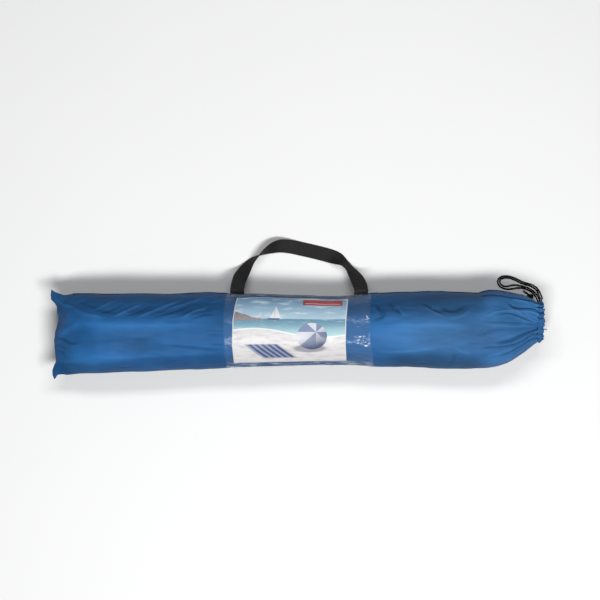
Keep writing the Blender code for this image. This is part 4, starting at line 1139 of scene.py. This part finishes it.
def tube(name, path, radius, material, sides=12, taper=1.0, braid=0.0):
    """A round tube along a path, with the relief of a braid where that is asked for."""
    path = np.array(path, float)
    run = run_of(path)
    along = unit(np.gradient(path, axis=0))
    side = np.cross(along[0], (0.0, 0.0, 1.0))
    if np.linalg.norm(side) < 0.1:
        side = np.cross(along[0], (0.0, 1.0, 0.0))
    level = []
    for direction in along:
        side = unit(side - direction * (side @ direction))
        level.append(side)
    level = np.array(level)
    up = np.cross(along, level)
    turn = np.arange(sides) * math.tau / sides
    wave = run[:, None] / BRAID_PITCH * math.tau
    relief = 1 + braid * np.cos(4 * turn + wave) * np.cos(4 * turn - wave)
    reach = (radius * np.broadcast_to(taper, len(path))[:, None] * relief)[..., None]
    cos, sin = np.cos(turn)[:, None], np.sin(turn)[:, None]
    points = path[:, None] + reach * (cos * level[:, None] + sin * up[:, None])
    uv = chart_of(run, np.arange(sides + 1) / sides)
    return grid_piece(name, points, material, uv=uv, flip=True, ends=ladder(sides))


def join(name, pieces):
    """One piece from several, under a name."""
    bpy.ops.object.select_all(action="DESELECT")
    for piece in pieces:
        piece.select_set(True)
    bpy.context.view_layer.objects.active = pieces[0]
    bpy.ops.object.join()
    pieces[0].name = name
    pieces[0].data.name = name
    return pieces[0]


def make_stage():
    """A plain pale floor, two overhead strip lights and a soft white room."""
    mesh = bpy.data.meshes.new("floor")
    corners = [(-1, -1), (1, -1), (1, 1), (-1, 1)]
    mesh.from_pydata([(x * FLOOR_HALF, y * FLOOR_HALF, 0) for x, y in corners], [], [(0, 1, 2, 3)])
    graph = Graph("floor")
    speck = graph.noise(graph.place(), 3.0, 2.0)
    graph.set(Base_Color=graph.mix(speck, FLOOR_GREY, FLOOR_PALE), Roughness=0.9)
    mesh.materials.append(graph.material)
    floor = add_object("floor", mesh)
    for name, place, length, width, power in STRIP_LIGHTS:
        data = bpy.data.lights.new(name, "AREA")
        data.shape = "RECTANGLE"
        data.size, data.size_y, data.energy = length, width, power
        lamp = add_object(name, data)
        lamp.location = place
        lamp.visible_camera = False
        aim = Vector((0.0, 0.0, PHOTO_PLANE_Z)) - lamp.location
        lamp.rotation_euler = aim.to_track_quat("-Z", "Y").to_euler()
    world = bpy.data.worlds.new("room")
    bpy.context.scene.world = world
    world.use_nodes = True
    background = world.node_tree.nodes["Background"].inputs
    background["Color"].default_value = ROOM_COLOUR
    background["Strength"].default_value = ROOM_LIGHT
    bpy.context.scene.view_settings.view_transform = "Standard"


def make_camera():
    data = bpy.data.cameras.new("camera")
    data.sensor_width = SENSOR_WIDTH * 1000
    data.lens = SENSOR_WIDTH * 1000 * (CAMERA_HEIGHT - PHOTO_PLANE_Z) / PHOTO_WIDTH
    camera = add_object("camera", data)
    camera.location = (PHOTO_X, PHOTO_Y, CAMERA_HEIGHT)
    bpy.context.scene.camera = camera


def eyelet_place():
    """Where the cord leaves the hem on the handle's side, as (x, y, z) at floor level."""
    _, middle, half_width, _, middle_height = STATION_SHARES[-1]
    z = middle_height * BAG_HALF_HEIGHT - STRAND_A_ROUTE[0][2]
    return np.array([EYELET_X, (middle + half_width) * BAG_HALF_WIDTH + AXIS_Y, z])


def make_knot(eyelet):
    """An overhand knot of both strands, with two short frayed tails."""
    centre = eyelet + (STRAND_A_ROUTE[-1] + STRAND_B_ROUTE[-1]) / 2
    centre[1] += KNOT_WIDTH / 2 + GAP
    centre[2] = KNOT_HEIGHT / 2 + FLOOR_CLEARANCE
    t = np.linspace(0, math.tau, 120)
    flat = np.array([np.sin(t) + 2 * np.sin(2 * t), np.cos(t) - 2 * np.cos(2 * t)]) * KNOT_SCALE
    path = np.stack([*flat, -np.sin(3 * t) * KNOT_RISE], -1)
    pieces = [tube("knot_turns", path + centre, KNOT_STRAND_RADIUS, CORD, 14, braid=0.05)]
    rng = np.random.default_rng(SEED + 2)
    for side in (-1, 1):
        heading = math.radians(TAIL_HEADING_DEG + side * TAIL_SPREAD_DEG)
        way = np.array([math.cos(heading), math.sin(heading), 0.0])
        start = centre + way * 0.0015
        end = centre + way * (KNOT_WIDTH / 2 + TAIL_LENGTH - 0.0012)
        end[2] = CORD_DIAMETER * 0.62
        bow = np.array([-way[1], way[0], 0.0]) * side * 0.0010
        route = smooth_line([start, (start + end) / 2 + bow, end])
        pieces.append(tube("tail", route, CORD_DIAMETER / 2, CORD, 12, braid=0.06))
        for _ in range(TAIL_HAIRS):
            spread = rng.normal(size=3) * (0.0005, 0.0005, 0.0003)
            tip = end + way * rng.uniform(0.0008, 0.0022) + spread * 2.2
            tip[2] = max(tip[2], 0.0004)
            hair = smooth_line([end - way * 0.0008 + spread * 0.6, end + spread, tip], 4)
            pieces.append(tube("fray", hair, HAIR_RADIUS, CORD, 5))
    knot = join("knot", pieces)
    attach(knot, "bag")
    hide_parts("drawcord_knot")
    return knot


def make_cords():
    """The drawcord's two free strands, from the eyelet to the knot."""
    eyelet = eyelet_place()
    knot = make_knot(eyelet)
    for word, route in (("a", STRAND_A_ROUTE), ("b", STRAND_B_ROUTE)):
        path = smooth_line(route + eyelet)
        strand = tube(f"cord_{word}", path, CORD_DIAMETER / 2, CORD, 14, braid=0.05)
        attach(strand, "bag")
        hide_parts(f"drawcord_strand_{word}")


def make_bag():
    """The bag's cloth: the folded outside, turned in at the mouth to a plain inside."""
    covered = (SLEEVE_START + COVERED_INSET, SLEEVE_END - COVERED_INSET)
    left = np.linspace(SEAM_X, covered[0], round((covered[0] - SEAM_X) / CLOTH_STEP))
    middle = np.arange(covered[0] + CLOTH_STEP, covered[1], CLOTH_STEP_COVERED)
    right = np.linspace(covered[1], BODY_END, round((BODY_END - covered[1]) / CLOTH_STEP))
    x_out = np.concatenate([left, middle, right])
    coarse_from = BODY_END - INNER_FINE_LENGTH
    fine = np.arange(BODY_END, coarse_from, -INNER_STEPS[0])
    x_in = np.concatenate([fine, np.arange(coarse_from, SEAM_X + SEAM_CLOSURE, -INNER_STEPS[1])])
    angles = uneven_columns()
    grid_x, grid_angle = np.broadcast_arrays(x_out[:, None], angles[None, :])
    outside = bag_surface(grid_x, grid_angle)
    height = cloth_height(grid_x, grid_angle, outside)
    outside = outside + normals_of(outside) * height[..., None]
    outside[..., 2] = np.maximum(outside[..., 2], bag_row(grid_x)[4] + FLOOR_CLEARANCE)
    grid_x, grid_angle = np.broadcast_arrays(x_in[:, None], angles[None, :])
    inside = bag_surface(grid_x, grid_angle)
    depth = lerp(CLOTH_THICKNESS, INNER_INSET, smooth_step((BODY_END - grid_x) / INNER_RAMP))
    depth = np.minimum(depth, bag_row(grid_x)[2] * INNER_MOST_SHARE)
    lift = cloth_height(grid_x, grid_angle, inside) - depth
    inside = inside + normals_of(inside[::-1])[::-1] * lift[..., None]
    upper = [k for k in range(len(angles)) if math.sin(angles[k]) > 0]
    lower = list(range(upper[0] - 1, -1, -1)) + list(range(len(angles) - 1, upper[-1], -1))
    ends = [face[::-1] for face in band_between(upper, lower, np.cos(angles))]
    uv = chart_of(np.concatenate([x_out, x_in]), closed_arc(angles))
    cloth = grid_piece("bag_cloth", np.concatenate([outside, inside]), BAG_CLOTH, uv=uv, ends=ends)
    # The folds' heights, kept for painting shade in their hollows and highlight on their crests
    relief = np.concatenate([height, np.zeros_like(lift)]).ravel() / CREST_UNIT
    layer = cloth.data.attributes.new("crest", "FLOAT", "POINT")
    layer.data.foreach_set("value", np.clip(relief, -1, 1).astype(np.float32))
    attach(cloth, "bag")
    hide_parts("bag_body", "bag_neck")


def mouth_surface(x, angle, inset, pleat):
    """A place on the hem: the mouth's outline, inset, with the gathers that reach it."""
    _, middle, half_width, half_height, middle_height = STATION_SHARES[-1]
    wave = pleat_height(np.full_like(angle, HEM_X), angle) * pleat
    y = middle * BAG_HALF_WIDTH + (half_width * BAG_HALF_WIDTH - inset + wave) * np.cos(angle)
    z = middle_height * BAG_HALF_HEIGHT
    z = z + (half_height * BAG_HALF_HEIGHT - inset + wave) * np.sin(angle)
    return np.stack([np.broadcast_to(x, y.shape), y + AXIS_Y, z], -1)


def make_hem():
    """The gathered hem: a ruffled channel folded over at the lip, with the cord in it."""
    angles = angle_columns(HEM_COLUMNS)
    rng = np.random.default_rng(SEED + 3)
    ring = np.stack([np.cos(angles), np.sin(angles), np.zeros_like(angles)], -1)
    ruffle = uneven(ring, (0.35, 0.35, 1.0), 20, rng)
    fine_ruffle = uneven(ring, (0.16, 0.16, 1.0), 20, rng)
    drawn_in = smooth_step((-np.cos(angles) - 0.45) / 0.5)
    line = HEM_PROFILE.copy()
    line[:, 0] = HEM_X + line[:, 0] * np.where(line[:, 0] > 0, HEM_SHOWN_SHARE, 1.0)
    line = smooth_line(np.vstack([line, line[:1]]), 3)
    rows = []
    for x, inset, pleat, loose in line[:-1]:
        wave = HEM_RUFFLE * loose * np.roll(ruffle, 40)
        wave = wave + HEM_FINE_RUFFLE * fine_ruffle * min(1.0, 0.35 + loose)
        corner = HEM_CORNER_CUT * smooth_step((x - HEM_X - 0.003) / 0.004) * drawn_in
        x = x + HEM_RUFFLE * loose * ruffle
        rows.append(mouth_surface(x, angles, inset + wave + corner, pleat))
    uv = chart_of(run_of(line[:, :2]), closed_arc(angles, HEM_ARC_RADIUS))
    hem = grid_piece("hem_collar", np.stack(rows), HEM_CLOTH, wrap_rows=True, uv=uv)
    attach(hem, "bag")
    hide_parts("mouth_hem")
    angles = np.linspace(HEM_CORD_OPENING, math.tau - HEM_CORD_OPENING, HEM_CORD_POINTS)
    ring = mouth_surface(EYELET_X, angles, HEM_CORD_INSET, HEM_CORD_GATHER)
    channel = tube("cord_in_hem", ring, CORD_DIAMETER / 2, CORD, 10, braid=0.05)
    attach(channel, "bag")
    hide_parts("drawcord_in_hem")


def beside_seam(x, up, out):
    """Places on the side seam: along the bag, up from its middle and out from the cloth."""
    _, half_width, half_height, _, _ = bag_row(x)
    angle = up / half_height
    surface = bag_surface(x, angle)
    away = [np.zeros_like(x), np.cos(angle) / half_width, np.sin(angle) / half_height]
    height = cloth_height(x, angle, surface) + SEAM_OFFSET + out
    return surface + unit(np.stack(away, -1)) * height[..., None]


def make_side_seam():
    """The felled seam on the handle's side, with two rows of stitches."""
    start = SEAM_X + BODY_LENGTH * SEAM_START_SHARE
    end = SEAM_X + BODY_LENGTH * SEAM_END_SHARE
    x = np.arange(start, end, SEAM_STEP)
    rng = np.random.default_rng(SEED + 4)
    places = np.stack([x, np.zeros_like(x), np.zeros_like(x)], -1)
    lump = uneven(places, (0.012, 1.0, 1.0), 14, rng)
    rise = SEAM_WANDER * uneven(places, (0.05, 1.0, 1.0), 8, rng)
    across, away = SEAM_OUTLINE_SHARES.T
    up = across * SEAM_HEIGHT / 2 + rise[:, None]
    out = away * SEAM_THICKNESS * (1 + SEAM_LUMPS * lump[:, None])
    grid = beside_seam(np.broadcast_to(x[:, None], up.shape), up, out)
    seam = grid_piece("seam_welt", grid, SEAM_CLOTH, flip=True, ends=ladder(len(across)))
    stitches = []
    for row in STITCH_ROWS:
        for place in np.arange(start + STITCH_MARGIN, end - STITCH_MARGIN, STITCH_PITCH):
            steps = place + STITCH_STEPS
            height = row * SEAM_HEIGHT / 2 + np.interp(steps, x, rise)
            stitches.append((steps, height, SEAM_THICKNESS * 1.02 + STITCH_LIFTS))
    lines = beside_seam(*(np.array(part) for part in zip(*stitches)))
    thread = join("seam_stitches", [tube("stitch", line, STITCH_RADIUS, THREAD, 5) for line in lines])
    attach(seam, "bag")
    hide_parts("side_seam")
    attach(thread, "bag")


def bow_of(y, rows):
    """How far the left and the right edge of the film or the card are bowed, at this y."""
    places, left, right = rows.T
    return np.interp(y, places, left), np.interp(y, places, right)


def make_film():
    """The clear film sleeve, crinkled where no card stiffens it, with the handle's two slots."""
    roots = [HANDLE_CENTRE_X - HANDLE_SPAN / 2, HANDLE_CENTRE_X + HANDLE_SPAN / 2]
    slots = [root + side * SLOT_LENGTH / 2 for root in roots for side in (-1, 1)]
    edges = sorted([SLEEVE_START, SLEEVE_END, *slots])
    x = [edges[0]]
    for low, high in zip(edges, edges[1:]):
        count = max(round((high - low) / FILM_STEP), 1)
        x += list(np.linspace(low, high, count + 1)[1:])
    x = np.array(x)
    angles = angle_columns(FILM_COLUMNS)
    grid_x, grid_angle = np.broadcast_arrays(x[:, None], angles[None, :])
    outside = bag_surface(grid_x, grid_angle, -SLEEVE_OFFSET - SLEEVE_THICKNESS)
    out = normals_of(outside)
    rng = np.random.default_rng(SEED + 5)
    on_card = within(grid_x, CARD_START, CARD_END, 0.004)
    on_card = on_card * within(grid_angle, CARD_EDGE, CARD_LOWER_EDGE, 0.08)
    crinkle = uneven(outside, (0.011, 0.006, 0.006), 30, rng)
    crinkle = np.sign(crinkle) * np.abs(crinkle) ** 0.8
    loose = 0.5 + 0.5 * uneven(outside, (0.06, 0.03, 0.03), 10, rng)
    height = FILM_CRINKLE * crinkle * np.clip(loose, 0.15, 1.6) * (1 - 0.72 * on_card)
    height += FILM_WAVES * uneven(outside, (0.05, 0.04, 0.04), 12, rng)
    height *= 1 - smooth_step(np.clip(-np.sin(grid_angle), 0, 1) / 0.5)
    outside = outside + out * np.clip(height, *FILM_RELIEF)[..., None]
    left, right = bow_of(outside[..., 1], FILM_BOW)
    outside[..., 0] += left * np.clip(1 - (grid_x - SLEEVE_START) / FILM_BOW_REACH[0], 0, 1)
    outside[..., 0] += right * np.clip(1 - (SLEEVE_END - grid_x) / FILM_BOW_REACH[1], 0, 1)
    inside = outside - out * SLEEVE_THICKNESS
    points = np.concatenate([outside, inside[::-1]])
    uv = chart_of(np.concatenate([x, x[::-1], x[:1]]), closed_arc(angles))
    film = grid_piece("film_sleeve", points, FILM, wrap_rows=True, uv=uv)
    cut_slots(film, roots)
    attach(film, "bag")
    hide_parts("sleeve_film")


def cut_slots(film, roots):
    """Cuts the handle's two slots through both faces of the film and closes their rims."""
    work = bmesh.new()
    work.from_mesh(film.data)
    for root in roots:
        inside = []
        for face in work.faces:
            x, y, z = face.calc_center_median()
            in_length = abs(x - root) < SLOT_LENGTH / 2
            if in_length and abs(z - HANDLE_ROOT_Z) < SLOT_HEIGHT / 2 and y > AXIS_Y:
                inside.append(face)
        bmesh.ops.delete(work, geom=inside, context="FACES")
    rims = [edge for edge in work.edges if edge.is_boundary]
    bmesh.ops.bridge_loops(work, edges=[e for e in rims if e.verts[0].co.x < 0])
    bmesh.ops.bridge_loops(work, edges=[e for e in rims if e.verts[0].co.x > 0])
    work.to_mesh(film.data)
    work.free()


def make_card():
    """The printed card on the bag's upper side, bowed over it with soft waves."""
    x = np.linspace(CARD_START, CARD_END, 82)
    angles = np.linspace(CARD_LOWER_EDGE, CARD_EDGE, 64)
    points = bag_surface(x[:, None], angles[None, :], -CARD_OFFSET)
    out = -normals_of(points, wrap_columns=False)
    wave = CARD_WAVES * uneven(points, (0.05, 0.03, 0.03), 12, np.random.default_rng(SEED + 6))
    points = points + out * np.clip(wave, *CARD_RELIEF)[..., None] + out * CARD_THICKNESS
    left, right = bow_of(points[..., 1], CARD_BOW)
    u, v = np.linspace(0, 1, len(x)), np.linspace(0, 1, len(angles))
    points[..., 0] += lerp(left, right, u[:, None])
    card = grid_piece("card", points, CARD, wrap_columns=False, uv=chart_of(u, v))
    solid = card.modifiers.new("thickness", "SOLIDIFY")
    solid.thickness = CARD_THICKNESS
    solid.offset = -1.0
    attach(card, "bag")
    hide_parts("label_card")


def handle_stations():
    """Centres and width directions of the webbing at the handle's stations."""
    half_drop = WEBBING_THICKNESS / 2 + HANDLE_REST_GAP
    centres = []
    for along, out, roll in HANDLE_SHARES:
        x = HANDLE_CENTRE_X + (along - 0.5) * HANDLE_SPAN
        y = HANDLE_ROOT_Y + out * HANDLE_REACH + AXIS_Y
        lift = abs(math.sin(math.radians(roll))) * WEBBING_WIDTH / 2
        fall = min(out * HANDLE_REACH / HANDLE_DROP_LENGTH, 1.0)
        dropped = smooth_step(lerp(HANDLE_DROP_START_SHARE, 1, fall))
        height = lerp(HANDLE_ROOT_Z, half_drop + lift, dropped)
        kept = smooth_step(HANDLE_DROP_START_SHARE) * (1 - fall)
        centres.append(np.array([x, y, height + (HANDLE_ROOT_Z - half_drop) * kept]))
    widths = []
    last = len(centres) - 1
    for k in range(last + 1):
        along = unit(centres[min(k + 1, last)] - centres[max(k - 1, 0)])
        if k in (0, last):
            along = unit(along * (0, 1, 1))
        level = unit(np.cross(along, (0, 0, 1)))
        roll = math.radians(HANDLE_SHARES[k][2])
        widths.append(level * math.cos(roll) + np.cross(level, along) * math.sin(roll))
    return centres, widths


def make_handle():
    """The webbing handle, from one sewn end through its half turn to the other."""
    centres, widths = handle_stations()
    roots = (centres[0], centres[-1])
    seams = [bag_surface(np.array(root[0]), np.array(0.0))[1] + SEAM_OFFSET for root in roots]
    sewn = [
        [(root[0], y, HANDLE_ROOT_Z) for y in (seam, (seam + root[1]) / 2)]
        for root, seam in zip(roots, seams)
    ]
    line = smooth_line([*sewn[0], *centres, *sewn[1][::-1]], 10)
    wide = smooth_line([widths[0]] * 2 + widths + [widths[-1]] * 2, 10)
    run = run_of(line)
    places = np.arange(0, run[-1], WEBBING_STEP)
    line, wide = (
        np.stack([np.interp(places, run, row) for row in rows.T], -1) for rows in (line, wide)
    )
    wide = unit(wide)
    face = unit(np.cross(unit(np.gradient(line, axis=0)), wide))
    t = np.linspace(-1, 1, WEBBING_COLUMNS)
    rib = RIB_HEIGHT * np.cos(t * math.pi * 11)
    selvedge = SELVEDGE_HEIGHT * smooth_step((np.abs(t) - 0.86) / 0.08)
    round_off = np.sqrt(1 - np.clip((np.abs(t) - 0.955) / 0.045, 0, 1) ** 2)
    pick = PICK_HEIGHT * np.sin(places[:, None] / PICK_PITCH * math.tau + t * 9)
    half = (WEBBING_THICKNESS / 2 - WEBBING_EDGE + rib + selvedge) * round_off + pick
    half = np.maximum(half, WEBBING_EDGE)[..., None] * face[:, None]
    base = line[:, None] + wide[:, None] * (t * WEBBING_WIDTH / 2)[:, None]
    points = np.concatenate([base + half, (base - half)[:, ::-1]], axis=1)
    points[..., 2] = np.maximum(points[..., 2], WEBBING_EDGE)
    uv = chart_of(places, np.concatenate([t, t[::-1], t[:1]]) * WEBBING_WIDTH / 2)[..., ::-1]
    ends = ladder(2 * WEBBING_COLUMNS)
    handle = grid_piece("carry_handle", points, WEBBING, uv=uv, flip=True, ends=ends)
    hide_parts("handle_webbing", "handle_tab_left", "handle_tab_right")
    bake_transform(handle)
    top = HANDLE_ROOT_Z + WEBBING_THICKNESS / 2
    for word, root, seam in zip(("left", "right"), roots, seams):
        stitches = []
        for k in range(TACK_STITCHES):
            x, y = root[0] + TACK_START + k * TACK_PITCH, seam + TACK_FROM_SEAM
            swing = TACK_SWING if k % 2 else -TACK_SWING
            route = [(x + along, y + swing * share, top + lift) for along, share, lift in TACK_STITCH]
            stitches.append(tube("tack", route, TACK_RADIUS, BLACK_THREAD, 6))
        tack = join(f"bar_tack_{word}", stitches)
        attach(tack, "bag")
        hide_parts(f"handle_bar_tack_{word}")


def make_peg():
    """The loose steel peg, whose point shows at the mouth."""
    low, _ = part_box("loose_peg")
    radius = PEG_DIAMETER / 2
    bend = PEG_HOOK + radius
    turn = math.pi * np.arange(17) / 16
    straight = np.linspace(bend + 0.004, PEG_LENGTH - PEG_POINT_LENGTH, 30)
    point = np.linspace(0.0, 1.0, 12)[1:]
    tip = PEG_LENGTH - PEG_POINT_LENGTH + PEG_POINT_LENGTH * point
    x = np.concatenate([[bend + PEG_HOOK_END], bend - PEG_HOOK * np.sin(turn), straight, tip])
    up = np.zeros_like(x)
    up[: 1 + len(turn)] = [2 * PEG_HOOK, *(PEG_HOOK * (1 + np.cos(turn)))]
    y = PEG_Y + up * math.cos(PEG_HOOK_TILT)
    z = low.z + radius + up * math.sin(PEG_HOOK_TILT)
    taper = np.ones(len(x))
    taper[-len(point) :] = 1 - (1 - PEG_TIP_SHARE) * point
    peg = tube("steel_peg", np.stack([x + low.x, y, z], -1), radius, STEEL, 16, taper=taper)
    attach(peg, "loose_peg")
    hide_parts("loose_peg")


def make_roll(name, first, last, material, node):
    """A stretch of the rolled tent: folded plies wound as a spiral round the poles."""
    middle = np.arange(ROLL_START + 0.01, ROLL_END - 0.01, 0.02)
    x = np.concatenate([[ROLL_START], middle, [ROLL_END]])
    rows = []
    for step in np.arange(first * ROLL_STEPS, last * ROLL_STEPS + 1):
        angle = math.tau * (step % ROLL_STEPS) / ROLL_STEPS
        turn = step / ROLL_STEPS
        bag = bag_surface(x, np.full_like(x, angle), ROLL_INSET)
        y = CORE_HALF_WIDTH * math.cos(angle) + AXIS_Y
        z = CORE_Z + CORE_HALF_HEIGHT * math.sin(angle)
        core = np.stack(np.broadcast_arrays(x, y, z), -1)
        outer = lerp(core, bag, min(turn / ROLL_TURNS, 1.0) - PLY_GAP)
        inner = lerp(core, bag, max(turn - 1.0, 0.0) / ROLL_TURNS + PLY_GAP)
        edges = []
        for k in range(1, ROLL_PLIES):
            place = lerp(outer[-1], inner[-1], k / ROLL_PLIES)
            place[0] += PLY_STEP * (1 if k % 2 else -1) + PLY_WANDER * math.sin(step * 0.31 + k)
            edges.append(place)
        rows.append(np.concatenate([outer, edges, inner[::-1]]))
    points = np.array(rows)
    piece = grid_piece(name, points, material, flip=True, ends=ladder(points.shape[1]))
    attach(piece, "bag")
    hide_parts(node)


def make_hank(number):
    """A guy line wound to a flat hank, with a few turns round its waist."""
    low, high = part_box(f"guy_line_hank_{number}")
    centre = np.array((low + high) / 2)
    half_length = (high.x - low.x) / 2 - HANK_END_GAP
    t = np.linspace(0, HANK_LOOPS * math.tau, HANK_LOOPS * HANK_POINTS)
    share = t / t[-1]
    width = lerp(*HANK_WIDTHS, np.abs(np.sin(share * math.pi * 1.5)))
    x = half_length * np.tanh(2.2 * np.cos(t)) / math.tanh(2.2)
    z = HANK_WANDER * np.sin(share * math.tau * 2.5)
    path = centre + np.stack([x, width * np.sin(t), z], -1)
    piece = tube(f"guy_line_{number}", path, GUY_LINE_RADIUS, GUY_LINE, 8)
    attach(piece, "bag")
    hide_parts(f"guy_line_hank_{number}")


def dress_nodes():
    """Gives the solids that stay in view their materials."""
    looks = (
        ("pole_", FIBREGLASS, "fibreglass"),
        ("ferrule_", FERRULE, "ferrule_steel"),
        ("shock_cord_", ELASTIC, "elastic"),
        ("end_pin_", FERRULE, "ferrule_steel"),
        ("peg_", STEEL, "peg_steel"),
    )
    for name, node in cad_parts.items():
        for start, material, slot in looks:
            if name.startswith(start) and not node.hide_render:
                for place in node.material_slots:
                    place.material = material


make_camera()
make_cords()
make_stage()
make_bag()
make_hem()
make_side_seam()
make_film()
make_card()
make_handle()
make_peg()
make_roll("ground_roll", 3 / 18, 34 / 18, GROUND_CLOTH, "groundsheet")
make_roll("canopy", 35 / 18, 69 / 18, CANOPY_CLOTH, "canopy_roll")
make_hank(1)
make_hank(2)
dress_nodes()
